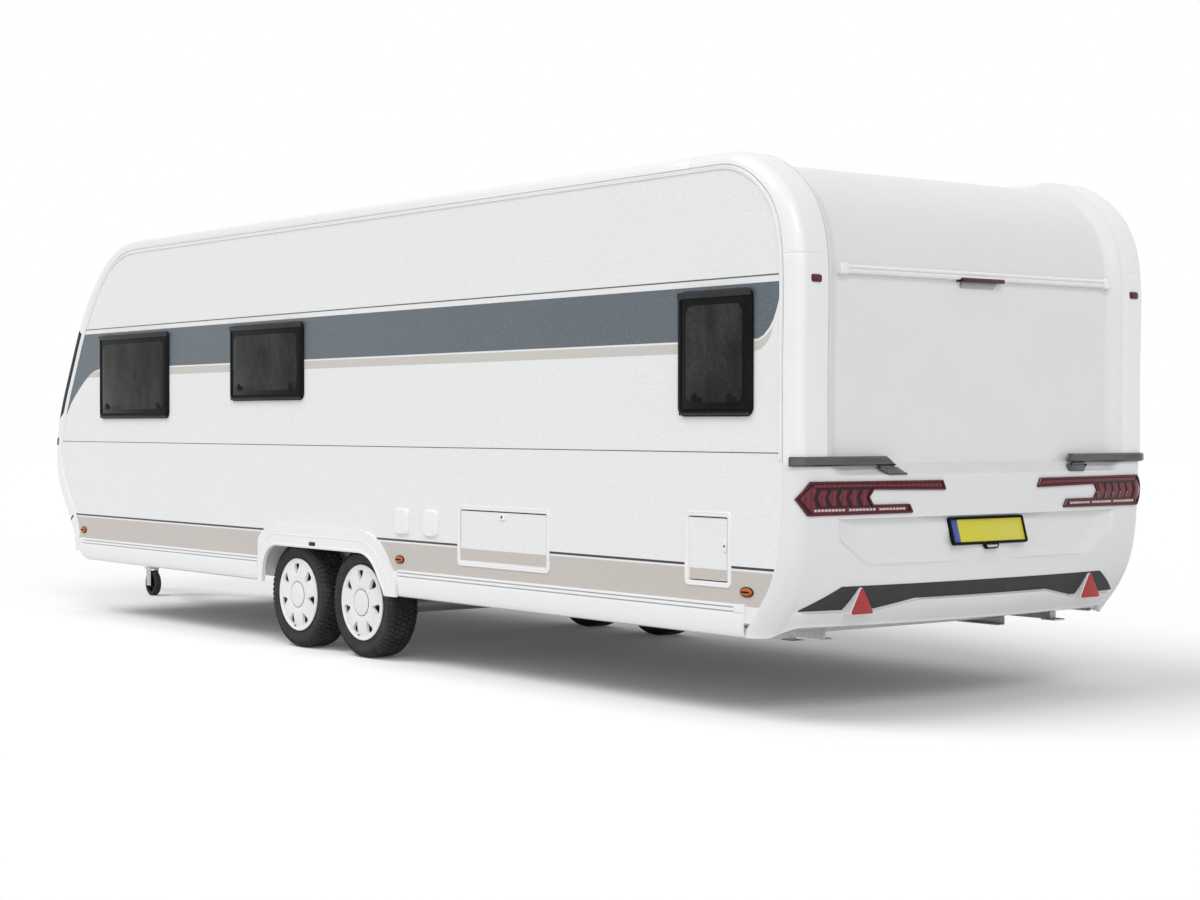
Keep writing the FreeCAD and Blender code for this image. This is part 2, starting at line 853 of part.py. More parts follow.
window_band = lofted([front_section(p, size("seat_play"), 16) for p in front_places])
band_shape = through_x(front_outline(0), front_inside, front_reach)
pane_shape = through_x(front_outline(30), front_inside, front_reach)
feature("front_window_frame", window_band.common(band_shape.cut(pane_shape)))
pane_band = lofted([front_section(p, 3, 12) for p in front_places])
feature("front_window_pane", pane_band.common(pane_shape))

# Locker box behind the lid

bulkhead = box("bulkhead", (FRONT + " - bulkhead_back", "wall - body_width / 2", "floor_top"),
               ("18", "body_width - 2 * wall", "lid_top - floor_top + 60"))
keep("locker_bulkhead", bulkhead)

# Side windows: frames seated on the wall, panes inside them

def window_solids(windows, side):
    """Frames and panes for one side."""
    frames, panes = [], []
    top = size("window_top")
    face = half_width * side
    proud = (half_width + size("window_proud")) * side
    for x, width, sill in windows:
        ring = extruded(rounded(x, sill, x + width, top, window_round), "XZ", face, proud)
        band = lap + 6
        inner = rounded(x + band, sill + band, x + width - band, top - band, window_round - 12)
        frames.append(ring.cut(extruded(inner, "XZ", face, proud)))
        middle = (half_width + 8) * side
        panes.append(extruded(inner, "XZ", middle, middle + size("pane_thick") * side))
    return frames, panes


left_frames, left_panes = window_solids(left_windows, 1)
right_frames, right_panes = window_solids(right_windows, -1)
group("side_window_frames", left_frames + right_frames)
group("side_window_panes", left_panes + right_panes)

# Service hatches on the left, their frames and the two small flaps ahead of them

frames = []
for name, x, width, sill, top in hatches:
    proud = half_width + size("frame_proud")
    outer = extruded(rounded(x, sill, x + width, top, 26), "XZ", half_width, proud)
    hole = rounded(x + frame_band, sill + frame_band, x + width - frame_band, top - frame_band, 14)
    frames.append(outer.cut(extruded(hole, "XZ", half_width, proud)))
    gap = frame_band + 6
    hinge_gap = frame_band + size("seat_play")
    low_gap, front_gap = (hinge_gap, gap) if name == "hatch_front" else (gap, hinge_gap)
    lid = rounded(x + gap, sill + low_gap, x + width - front_gap, top - gap, 10)
    keep(name, padded(name, "XZ", lid, "wall", ("0", "body_width / 2", "0")))
group("hatch_frames", frames)

flaps = []
for k in (0, 1):
    x, z = arch_rear_x - size("flap_behind") - size("flap_pitch") * k, size("flap_foot")
    outline = rounded(x, z, x + size("flap_width"), z + size("flap_height"), 30)
    flaps.append(extruded(outline, "XZ", half_width, half_width + size("flap_proud")))
vent_x = axle_middle - size("vent_behind") - size("vent_width") / 2
for z in (size("vent_low"), size("vent_high")):
    outline = rounded(vent_x, z, vent_x + size("vent_width"), z + size("vent_height"), 20)
    flaps.append(extruded(outline, "XZ", -half_width - size("vent_proud"), -half_width))
group("service_flaps", flaps)

# Entrance door on the right, with its window

gap = size("door_gap")
door_outline = rounded(door_x0 + gap, door_foot + gap, door_x1 - size("seat_play"), size("door_top") - gap, 55)
door_pane = [door_x0 + size("door_pane_inset"), size("door_pane_sill"),
             door_x1 - size("door_pane_inset"), size("door_pane_top")]
pane_round, play = size("door_pane_round"), size("seat_play")
door_hole = rounded(*door_pane, pane_round)
keep("entrance_door", padded("entrance_door", "XZ", door_outline + door_hole, "wall",
                             ("0", "wall - body_width / 2", "0")))
pane_edge = rounded(door_pane[0] + play, door_pane[1] + play, door_pane[2] - play, door_pane[3] - play,
                    pane_round)
feature("door_window", extruded(pane_edge, "XZ", -half_width - size("door_pane_proud"), -half_width + wall - 6))

# Rooflight

lid_z = roof_line + size("edge_roof") - size("roof_sink") + 14
light_end = light_x + size("rooflight_length")
flange = size("rooflight_flange")
light_frame = block(light_x - flange, light_end + flange, -light_y - flange, light_y + flange,
                    lid_z - 36, lid_z + 16)
light_frame = light_frame.cut(block(light_x, light_end, -light_y, light_y, lid_z - 50, lid_z + 50))
lug_top = lid_z + 22 - size("seat_play")
lugs = [block(light_end + 10, light_end + 30, y - 20, y + 20, lid_z + 16, lug_top) for y in (-180, 180)]
feature("rooflight_frame", light_frame.cut(parts["roof_panel"].Shape).fuse(lugs))
light_lid = block(light_x - 30, light_end + 30, -light_y - 30, light_y + 30, lid_z + 22, lid_z + 52)
feature("rooflight_lid", light_lid)

# Lower rear: one moulded panel round both corners, with a ledge above and a recess for the plate

below_lip = block(rear_x - 300, rear_x + 600, -half_width - 100, half_width + 100, 100, size("bumper_lip"))
bumper = rear_skin(-skin, 0).cut(below_lip)


def ledge_section(place):
    """Across the ledge at one station: the bumper's bow outside, straight inside."""
    edge = size("edge_rear")
    outer = [(moulding_y * m, edge + size("rear_bulge") * (1 - (moulding_y * m / corner_y) ** 2) - 2)
             for m in MARKS]
    inner = edge - size("rear_recess") - skin
    return section(place, [outer, [outer[-1], (moulding_y, inner)], [(moulding_y, inner), (-moulding_y, inner)],
                           [(-moulding_y, inner), outer[0]]])


ledge_foot = parameter_at(rear_rim, size("ledge_top") - size("ledge_drop"))
ledge = lofted([ledge_section(p) for p in stations(rear_rim, ledge_foot, rear_foot, 3)])
ledge_top, ledge_half = size("ledge_top"), half_width - size("ledge_inset")
ledge_back = rear_x + size("rear_recess")
ledge_fall = size("ledge_drop") / size("ledge_run")
ledge_reach = ledge_back - 250
over_ledge = extruded(polygon([(ledge_back, ledge_top), (ledge_reach, ledge_top - ledge_fall * 250),
                               (ledge_reach, ledge_top + 50), (ledge_back, ledge_top + 50)]),
                      "XZ", -ledge_half, ledge_half)


def lip_section(place):
    """Across the lip below the dark insert: out from the bumper's bow, and flush near the corners."""
    bulge = size("rear_bulge") + size("foot_bulge")
    marks = [corner_y * m for m in (-0.99, -0.95, -0.9, -0.5, 0, 0.5, 0.9, 0.95, 0.99)]
    outer = [(y, size("edge_rear") + bulge * (1 - (y / corner_y) ** 2)
              + blend(size("lip_proud"), -2, (abs(y) / corner_y - 0.9) / 0.08)) for y in marks]
    inner = [(y, size("edge_rear") + bulge * (1 - (y / corner_y) ** 2) - skin / 2) for y in reversed(marks)]
    return section(place, [outer, [outer[-1], inner[0]], inner, [inner[-1], outer[0]]])


lip_low, lip_high = size("bumper_lip"), size("lip_top") + size("lip_rise")
lip_places = stations(rear_rim, parameter_at(rear_rim, size("bumper_foot")), parameter_at(rear_rim, lip_high), 4)
half_line = [(0, lip_high), (size("lip_kink_in"), lip_high), (size("lip_kink_out"), size("lip_top")),
             (half_width, size("lip_top")), (half_width, lip_low)]
lip_line = polygon(half_line + [(-y, z) for y, z in reversed(half_line[1:])])
lip = lofted([lip_section(p) for p in lip_places]).common(through_x(lip_line, rear_x - 300, rear_x + 500))

recess_half = moulding_y - size("recess_inset")
recess_top, recess_foot = size("recess_top"), size("recess_foot")
recess_in, recess_out = rear_x + size("recess_deep"), rear_x - size("recess_foot_out")
recess_slope = (recess_in - recess_out) / (recess_top - recess_foot)


def recess_prism(grow):
    """The recess seen from behind: upright ends that slant in towards its foot, grown by a distance."""
    wide, narrow = recess_half + grow, recess_half - size("recess_taper") + grow
    waist = (recess_top + recess_foot) / 2
    return through_x(polygon([(-wide, recess_top + grow), (wide, recess_top + grow), (wide, waist),
                              (narrow, recess_foot - grow), (-narrow, recess_foot - grow), (-wide, waist)]),
                     rear_x - 300, rear_x + 300)


def pan_plane(near, far):
    """A slab that leans with the recess, from near to far ahead of its face."""
    return extruded(polygon([(recess_in + near, recess_top), (recess_in + far, recess_top),
                             (recess_out + far, recess_foot), (recess_out + near, recess_foot)]),
                    "XZ", -moulding_y, moulding_y)


hollow = pan_plane(-300, 0).common(recess_prism(0)).fuse(
    rear_skin(-size("recess_rim"), 2 * skin).common(recess_prism(0)))
pan = pan_plane(0, skin).common(recess_prism(skin)).cut(rear_skin(-size("recess_rim") / 2, 4 * skin))
solid_rear = bumper.fuse([pan, ledge, lip])
feature("rear_bumper", solid_rear.cut(over_ledge).cut(hollow))

# Tail lamps: two arms each, wrapping the corner

LAMP = [(16, 1042), (90, 1122), (900, 1119), (923, 1072), (460, 1080), (435, 1045), (460, 1011),
        (687, 1011), (713, 968), (80, 966)]


def from_side(points):
    """An outline on the rear, from points measured inwards from the left side."""
    return polygon([(half_width - inward, z) for inward, z in points])


lamp_skin = rear_skin(size("seat_play"), size("lamp_proud"))
left_lamp = lamp_skin.common(through_x(from_side(LAMP), rear_x - 200, rear_x + 250))
group("tail_lamps", [left_lamp, mirrored(left_lamp)])

# Grab handles: a bar off the surface, with a hand hole and a foot at each end

HANDLE = [(-50, 1238), (-50, 1196), (265, 1186), (550, 1150), (610, 1137), (638, 1146), (578, 1222), (538, 1240)]
HANDLE_HOLE = [(290, 1204), (290, 1212), (450, 1208), (505, 1176), (475, 1176)]
HANDLE_FEET = [[(160, 1150), (108, 1150), (108, 1200), (160, 1200)],
               [(632, 1122), (560, 1122), (560, 1160), (632, 1160)]]
handle_top = size("handle_top")
bar_skin = rear_skin(size("handle_gap"), size("handle_gap") + size("handle_thick"), handle_top)
foot_skin = rear_skin(size("seat_play"), size("handle_gap") + 4, handle_top)
handle_end = rear_x + size("handle_wrap")
bar = bar_skin.common(through_x(from_side(HANDLE), rear_x - 200, handle_end))
bar = bar.cut(through_x(from_side(HANDLE_HOLE), rear_x - 200, handle_end))
feet = [foot_skin.common(through_x(from_side(outline), rear_x - 200, handle_end)) for outline in HANDLE_FEET]
handle = bar.fuse(feet)
group("grab_handles", [handle, mirrored(handle)])

# Rail across the upper rear, lamps and reflectors

rail_half = moulding_y - size("rear_rail_inset")
rail_x = rear_x + size("rear_recess")
rail_face = rail_x - size("rear_rail_depth")
rail_z = size("rear_rail_height")
rail_bar = block(rail_face, rail_x + skin, -rail_half, rail_half,
                 rail_z - size("rear_rail_thick") / 2, rail_z + size("rear_rail_thick") / 2)
feature("rear_rail", rail_bar.cut(parts["rear_panel"].Shape).Solids[0])
marker_y = half_width - size("marker_inset")
marker_half = size("marker_width") / 2
marker_z = rail_z - size("marker_drop")
markers = []
for s, side in ((1, rear_length), (-1, mirrored(rear_length))):
    lamp = block(rear_x - size("marker_proud"), rear_x + skin,
                 s * marker_y - marker_half, s * marker_y + marker_half,
                 marker_z - size("marker_height") / 2, marker_z + size("marker_height") / 2)
    markers.append(lamp.cut(side).Solids[0])
lamp_half = size("brake_lamp_width") / 2
lamp_top = rail_z - size("brake_lamp_drop")
markers.append(block(rail_face - size("brake_lamp_proud"), rail_face - size("seat_play"), -lamp_half, lamp_half,
                     lamp_top - size("brake_lamp_thick"), lamp_top))
group("red_markers", markers)

DARK = [(104, 522), (326, 633), (half_width, 633), (half_width, lip_high),
        (half_width - size("lip_kink_in"), lip_high), (half_width - size("lip_kink_out"), size("lip_top") + 2)]
dark_skin = rear_skin(size("seat_play"), size("insert_thick"))
dark_half = dark_skin.common(through_x(from_side(DARK), rear_x - 200, rear_x + 400))
feature("bumper_insert", dark_half.fuse(mirrored(dark_half)).removeSplitter())

TRIANGLE = [(432, 629), (360, 510), (505, 508)]
reflector_skin = rear_skin(size("insert_thick") + size("seat_play"), size("triangle_proud"))
triangle = reflector_skin.common(through_x(from_side(TRIANGLE), rear_x - 200, rear_x + 400))
group("rear_reflectors", [triangle, mirrored(triangle)])

plate_half = size("plate_width") / 2
plate_foot = size("plate_foot")
plate = block(-size("plate_thick"), 0, -plate_half, plate_half, 0, size("plate_height"))
plate.rotate(Vector(), Vector(0, 1, 0), math.degrees(math.atan(recess_slope)))
plate_x = recess_out + (plate_foot - recess_foot) * recess_slope - size("seat_play")
plate.translate(Vector(plate_x, 0, plate_foot))
feature("number_plate", plate)

ambers = []
for x in (front_x - size("amber_front_back"), arch_rear_x - size("amber_arch_back"),
          rear_x + size("amber_rear_from")):
    for s in (1, -1):
        spot = Vector(x, s * (half_width + size("seat_play")), size("amber_height"))
        ambers.append(Part.makeCylinder(size("amber_diameter") / 2, size("amber_proud"), spot, Vector(0, s, 0)))
group("amber_markers", ambers)

# Chassis: two long members, cross members and the steadies' brackets

rail_half_gap = size("rail_spacing") / 2
rail_foot = floor_bottom - size("rail_height")


def channel(side):
    """A channel section with its open side turned in."""
    sheet_t = size("rail_sheet") * side
    flange = size("rail_flange") * side
    y = rail_half_gap * side
    return polygon([(y, rail_foot), (y - flange, rail_foot), (y - flange, rail_foot + abs(sheet_t)),
                    (y - sheet_t, rail_foot + abs(sheet_t)), (y - sheet_t, floor_bottom - abs(sheet_t)),
                    (y - flange, floor_bottom - abs(sheet_t)), (y - flange, floor_bottom),
                    (y, floor_bottom)])


chassis_start = rear_x + size("rail_rear_gap")
chassis_end = front_x - size("rail_front_gap")
members = [through_x(channel(s), chassis_start, chassis_end) for s in (1, -1)]
cross = []
cross_inset, cross_pitch = size("cross_inset"), size("cross_pitch")
for x in (chassis_start + cross_inset, axle_middle - cross_pitch, axle_middle + cross_pitch,
          chassis_end - cross_inset - 60):
    cross.append(block(x, x + 50, -rail_half_gap + size("rail_sheet"), rail_half_gap - size("rail_sheet"),
                       floor_bottom - 90, floor_bottom - 10))
group("chassis_frame", [members[0].fuse([members[1]] + cross)])

# Drawbar: two beams that close on the overrun housing

beam_y = rail_half_gap - size("beam_inset")
beam_start = front_x - size("beam_lap")
apex_x = coupling_nose_x - size("apex_back")
apex_y = size("apex_half")
beams = []
for s in (1, -1):
    start = Vector(beam_start, s * beam_y, size("beam_bottom"))
    end = Vector(apex_x, s * apex_y, size("beam_bottom"))
    half = size("beam_width") / 2
    profile = Part.makePolygon([start + Vector(0, -half, 0), start + Vector(0, half, 0),
                                end + Vector(0, half, 0), end + Vector(0, -half, 0),
                                start + Vector(0, -half, 0)])
    beams.append(Part.Face(profile).extrude(Vector(0, 0, size("beam_height"))))
beam_top = size("beam_bottom") + size("beam_height")
tie_x = apex_x - size("apex_tie")
tie = block(tie_x, apex_x, -apex_y - half, apex_y + half, size("beam_bottom"), beam_top)
feature("drawbar", beams[0].fuse([beams[1], tie]))

# Coupling: overrun tube, head with the ball socket and the handbrake lever

ball_x = coupling_nose_x - size("ball_back")
coupling_z = size("coupling_height")
tube_z = coupling_z + 30
along = Vector(1, 0, 0)
tube = Part.makeCylinder(size("overrun_diameter") / 2, ball_x - 190 - tie_x, Vector(tie_x, 0, tube_z), along)
head = block(ball_x - 200, coupling_nose_x, -48, 48, coupling_z - 22, coupling_z + 62)
head = head.makeFillet(18, [e for e in head.Edges if abs(e.tangentAt(0).z) > 0.9])
socket = Part.makeCylinder(size("ball_diameter") / 2, 30, Vector(ball_x, 0, coupling_z - 22))
dome = Part.makeSphere(size("ball_diameter") / 2, Vector(ball_x, 0, coupling_z + 8))
saddle = block(tie_x + 10, apex_x - 10, -60, 60, beam_top, tube_z + 40)
feature("coupling_head", tube.fuse([head, saddle]).cut(socket.fuse(dome)))

# Axles: a tube, trailing arms, drums and stubs for each pair of wheels

hub_z = size("tyre_diameter") / 2
axles = []
for hub_x in hub_places:
    tube_x = hub_x + size("arm_lead")
    arm_y = wheel_y - size("tyre_width") / 2 - 150
    side_axis = Vector(0, 1, 0)
    tube = Part.makeCylinder(size("axle_tube") / 2, 2 * arm_y, Vector(tube_x, -arm_y, hub_z - 40), side_axis)
    pieces = []
    for s in (1, -1):
        arm = Part.makePolygon([Vector(tube_x + 50, s * arm_y, hub_z - 80), Vector(tube_x + 50, s * arm_y, hub_z),
                                Vector(hub_x - 40, s * arm_y, hub_z + 40), Vector(hub_x - 40, s * arm_y, hub_z - 40),
                                Vector(tube_x + 50, s * arm_y, hub_z - 80)])
        pieces.append(Part.Face(arm).extrude(Vector(0, s * 40, 0)))
        drum = Part.makeCylinder(size("drum_diameter") / 2, 62, Vector(hub_x, s * (arm_y + 40), hub_z),
                                 Vector(0, s, 0))
        stub = Part.makeCylinder(size("hub_bore") / 2 - size("hub_play"), 225,
                                 Vector(hub_x, s * (arm_y + 100), hub_z), Vector(0, s, 0))
        pieces += [drum, stub]
    axles.append(tube.fuse(pieces))
group("axles", axles)

# Wheels: a tyre and a rim with its cap

rim_r = size("rim_diameter") / 2
half_tyre = size("tyre_width") / 2


def tyre_geometry():
    """The tyre's section above its axis."""
    shoulder = half_tyre - 26
    side_r = (tyre_r + rim_r) / 2
    outer = [Part.LineSegment(Vector(-shoulder, tyre_r), Vector(shoulder, tyre_r)),
             Part.Arc(Vector(shoulder, tyre_r), Vector(half_tyre - 4, tyre_r - 16), Vector(half_tyre, side_r)),
             Part.LineSegment(Vector(half_tyre, side_r), Vector(half_tyre - 14, rim_r - 14)),
             Part.LineSegment(Vector(half_tyre - 14, rim_r - 14), Vector(14 - half_tyre, rim_r - 14)),
             Part.LineSegment(Vector(14 - half_tyre, rim_r - 14), Vector(-half_tyre, side_r)),
             Part.Arc(Vector(-half_tyre, side_r), Vector(4 - half_tyre, tyre_r - 16), Vector(-shoulder, tyre_r))]
    return outer


def rim_geometry(side):
    """The rim's section: barrel, dished face and hub, with the cap's face outside."""
    bore = size("hub_bore") / 2
    barrel = rim_r - 14.3
    low, high = -half_tyre + 16, half_tyre - 16
    points = [(low, barrel), (high + 2.5, barrel), (high + 14, rim_r), (high + 20, rim_r - 6),
              (high + 10, rim_r - 26), (high + 18, 150), (high + 14, size("cap_ring") / 2),
              (high + 20, size("cap_ring") / 2 - 6), (high + 20, 0), (high + 2, 0), (high + 2, bore),
              (high - 60, bore), (high - 60, 90), (high - 8, 130), (high - 8, barrel - 22),
              (low + 8, barrel - 10), (low, barrel - 4)]
    return polygon([(side * y, r) for y, r in points])


def cap_holes(side, middle):
    """Seven blind teardrop holes in a cap, with their points towards its middle."""
    hole_in, hole_out, half = size("cap_hole_in"), size("cap_hole_out"), size("cap_hole_width") / 2
    drop = softened([(0, hole_in, 4), (half, hole_out, 12), (-half, hole_out, 12)])
    face = middle.y + side * (half_tyre - 16)
    ends = (face + side * (18 - size("cap_hole_depth")), face + side * 60)
    hole = extruded(drop, "XZ", min(ends), max(ends))
    holes = []
    for k in range(7):
        turn = hole.copy()
        turn.translate(Vector(middle.x, 0, middle.z))
        turn.rotate(middle, Vector(0, 1, 0), 4 + 360 / 7 * k)
        holes.append(turn)
    return holes


for end, sign in (("front", "+"), ("rear", "-")):
    for side_name, s in (("left", 1), ("right", -1)):
        tag = end + "_" + side_name
        place = ("%s + body_length / 2 + axle_ahead %s axle_pitch / 2" % (REAR, sign),
                 "body_width / 2 - wheel_inset" if s > 0 else "wheel_inset - body_width / 2",
                 "tyre_diameter / 2")
        keep("tyre_" + tag, turned("tyre_" + tag, tyre_geometry(), place))
        rim = turned("rim_body_" + tag, rim_geometry(s), place)
        doc.recompute()
        middle = rim.Placement.Base
        drops = doc.addObject("Part::Feature", "cap_holes_" + tag)
        drops.Shape = Part.makeCompound(cap_holes(s, middle))
        keep("rim_" + tag, cut("rim_" + tag, rim, drops))

# Jockey wheel: fixed tube, swivelling fork and wheel

jockey_x = coupling_nose_x - size("jockey_back")
jockey_y = size("jockey_side")
swivel_x = jockey_x + size("jockey_trail")
tube_r = size("jockey_tube") / 2
jockey_r = size("jockey_wheel") / 2
up = Vector(0, 0, 1)
outer_tube = Part.makeCylinder(tube_r, 560, Vector(swivel_x, jockey_y, 290), up)
outer_tube = outer_tube.cut(Part.makeCylinder(tube_r - 4, 300, Vector(swivel_x, jockey_y, 280), up))
clamp_y = apex_y + half + (beam_y - apex_y) * (apex_x - swivel_x + 30) / (apex_x - beam_start) + size("seat_play")
clamp = block(swivel_x - 30, swivel_x + 30, clamp_y, jockey_y - tube_r + 2, 340, 420)
crank = Part.makeCylinder(8, 60, Vector(swivel_x, jockey_y, 845), up)
crank_arm = block(swivel_x - 8, swivel_x + 150, jockey_y - 8, jockey_y + 8, 890, 906)
feature("jockey_tube", outer_tube.fuse([clamp, crank, crank_arm]))
stem = Part.makeCylinder(tube_r - 4 - size("seat_play"), 330, Vector(swivel_x, jockey_y, 225), up)
fork_half = size("jockey_width") / 2 + 6
fork_top = block(jockey_x - 30, swivel_x + 26, jockey_y - fork_half - 5, jockey_y + fork_half + 5, 213, 225)
cheeks = [block(jockey_x - 22, jockey_x + 50, jockey_y + s * (fork_half + 2.5) - 2.5,
                jockey_y + s * (fork_half + 2.5) + 2.5, jockey_r - 20, 214) for s in (1, -1)]
pin = Part.makeCylinder(6, 2 * fork_half + 10, Vector(jockey_x, jockey_y - fork_half - 5, jockey_r),
                        Vector(0, 1, 0))
feature("jockey_fork", stem.fuse([fork_top, pin] + cheeks))
jockey_half = size("jockey_width") / 2
jockey_outline = polygon([(-jockey_half, 6.3), (jockey_half, 6.3), (jockey_half, 24), (jockey_half - 12, 30),
                          (jockey_half - 12, jockey_r - 32), (jockey_half, jockey_r - 24),
                          (jockey_half, jockey_r - 8), (jockey_half - 8, jockey_r), (8 - jockey_half, jockey_r),
                          (-jockey_half, jockey_r - 8), (-jockey_half, jockey_r - 24),
                          (12 - jockey_half, jockey_r - 32), (12 - jockey_half, 30), (-jockey_half, 24)])
JOCKEY_X = FRONT + " + drawbar_reach - jockey_back"
keep("jockey_wheel", turned("jockey_wheel", jockey_outline, (JOCKEY_X, "jockey_side", "jockey_wheel / 2")))

# Corner steadies, folded up, and the brackets that carry them

steady_z = size("steady_height")
brackets = []
for end, direction, pivot_x in (("rear", -1, rear_x + size("steady_from") + size("steady_length")),
                                ("front", 1, front_x - size("steady_back"))):
    for side_name, s in (("left", 1), ("right", -1)):
        y = s * (half_width - size("steady_inset"))
        tip_x = pivot_x + direction * size("steady_length")
        low, high = sorted((pivot_x - direction * 20, tip_x))
        leg = block(low, high, y - 24, y + 24, steady_z - 22, steady_z + 18)
        foot_pad = block(tip_x - 45, tip_x + 45, y - 40, y + 40, steady_z - 26, steady_z - 18)
        eye = Part.makeCylinder(8.5, 60, Vector(pivot_x, y - 30, steady_z), Vector(0, 1, 0))
        feature("steady_%s_%s" % (end, side_name), leg.fuse(foot_pad).cut(eye))
        plate = block(low - 20, high + 20, y - 34, y + 34, floor_bottom - 24, floor_bottom)
        cheek = [block(pivot_x - 26, pivot_x + 26, y + t * 32 - 3, y + t * 32 + 3,
                       steady_z - 26, floor_bottom - 20) for t in (1, -1)]
        pivot = Part.makeCylinder(8, 66, Vector(pivot_x, y - 33, steady_z), Vector(0, 1, 0))
        brackets.append(plate.fuse(cheek + [pivot]))
group("steady_brackets", brackets)

# Everything is checked, then written

doc.recompute()
for item in doc.Objects:
    if "Invalid" in item.State or "Error" in item.State:
        raise RuntimeError("failed object: " + item.Name)
os.makedirs("parts", exist_ok=True)
for label, item in parts.items():
    shape = item.Shape
    if shape.isNull() or not shape.isValid() or not shape.Solids:
        raise RuntimeError("bad shape: " + label)
    shape.exportStep("parts/%s.step" % label)
print(len(parts), "sub-parts")
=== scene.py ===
"""Finishes and fine pieces of a twin-axle travel caravan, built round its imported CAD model.

Everything is in metres in the model's own frame: X forward, Y left, Z up, with the ground at
zero. Lists passed through from_rear measure forward from the rear face, as on the drawings.
"""

import json
import logging
import math
from collections.abc import Callable, Sequence
from dataclasses import dataclass
from enum import IntEnum

import bmesh
import bpy
import numpy as np
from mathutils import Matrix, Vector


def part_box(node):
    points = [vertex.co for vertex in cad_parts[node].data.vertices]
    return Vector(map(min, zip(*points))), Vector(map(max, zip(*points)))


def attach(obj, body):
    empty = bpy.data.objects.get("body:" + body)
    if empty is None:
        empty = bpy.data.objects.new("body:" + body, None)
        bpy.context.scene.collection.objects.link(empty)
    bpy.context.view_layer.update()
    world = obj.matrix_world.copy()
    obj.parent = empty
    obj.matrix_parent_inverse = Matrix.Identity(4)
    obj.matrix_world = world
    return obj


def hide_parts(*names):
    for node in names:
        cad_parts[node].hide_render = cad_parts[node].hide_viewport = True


Array = np.ndarray
Socket = bpy.types.NodeSocket
Triple = tuple[float, float, float]

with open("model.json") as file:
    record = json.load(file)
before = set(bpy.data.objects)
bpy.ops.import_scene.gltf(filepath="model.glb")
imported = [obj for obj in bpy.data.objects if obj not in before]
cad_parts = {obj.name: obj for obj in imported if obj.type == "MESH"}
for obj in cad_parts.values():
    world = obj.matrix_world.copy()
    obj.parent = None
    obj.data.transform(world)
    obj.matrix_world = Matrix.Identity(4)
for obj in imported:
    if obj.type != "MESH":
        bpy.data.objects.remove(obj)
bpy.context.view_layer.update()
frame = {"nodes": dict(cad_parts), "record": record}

REAR_X = -4.5525
FRONT_X = 3.4075
HALF_WIDTH = 1.25
MOULDING_Y = 1.05
ROOF_LINE = 2.593
JOCKEY_AXLE = (3.9275, 0.13, 0.1)
CAD_WELD, PIECE_WELD, TOOL_WELD = 2e-5, 1e-6, 1e-7
CAD_SHARP = 32.0
LOG = logging.getLogger("caravan")


class Side(IntEnum):
    """Which wall, as the sign of its side position."""

    LEFT = 1
    RIGHT = -1


LEFT, RIGHT = Side.LEFT, Side.RIGHT


# Node maths


class Value:
    """A number that varies over a surface: one output socket, with arithmetic as Math nodes."""

    def __init__(self, nodes: "Nodes", socket: Socket) -> None:
        """Wrap one output socket of a material's node tree."""
        self.nodes = nodes
        self.socket = socket

    def _math(self, operation: str, *terms: object) -> "Value":
        """Add a Math node that joins the terms in their order."""
        node = self.nodes.make("ShaderNodeMath", {"operation": operation}, dict(enumerate(terms)))
        return Value(self.nodes, node.outputs[0])

    def __add__(self, other: object) -> "Value":
        """Sum."""
        return self._math("ADD", self, other)

    def __mul__(self, other: object) -> "Value":
        """Product."""
        return self._math("MULTIPLY", self, other)

    def root(self) -> "Value":
        """Square root."""
        return self._math("SQRT", self)

    def wave(self) -> "Value":
        """Sine."""
        return self._math("SINE", self)

    def ramp(self, low: float, high: float) -> "Value":
        """A smooth step from zero at low to one at high."""
        node = self.nodes.make("ShaderNodeMapRange", {"interpolation_type": "SMOOTHSTEP"},
                               {"Value": self, "From Min": low, "From Max": high})
        return Value(self.nodes, node.outputs[0])


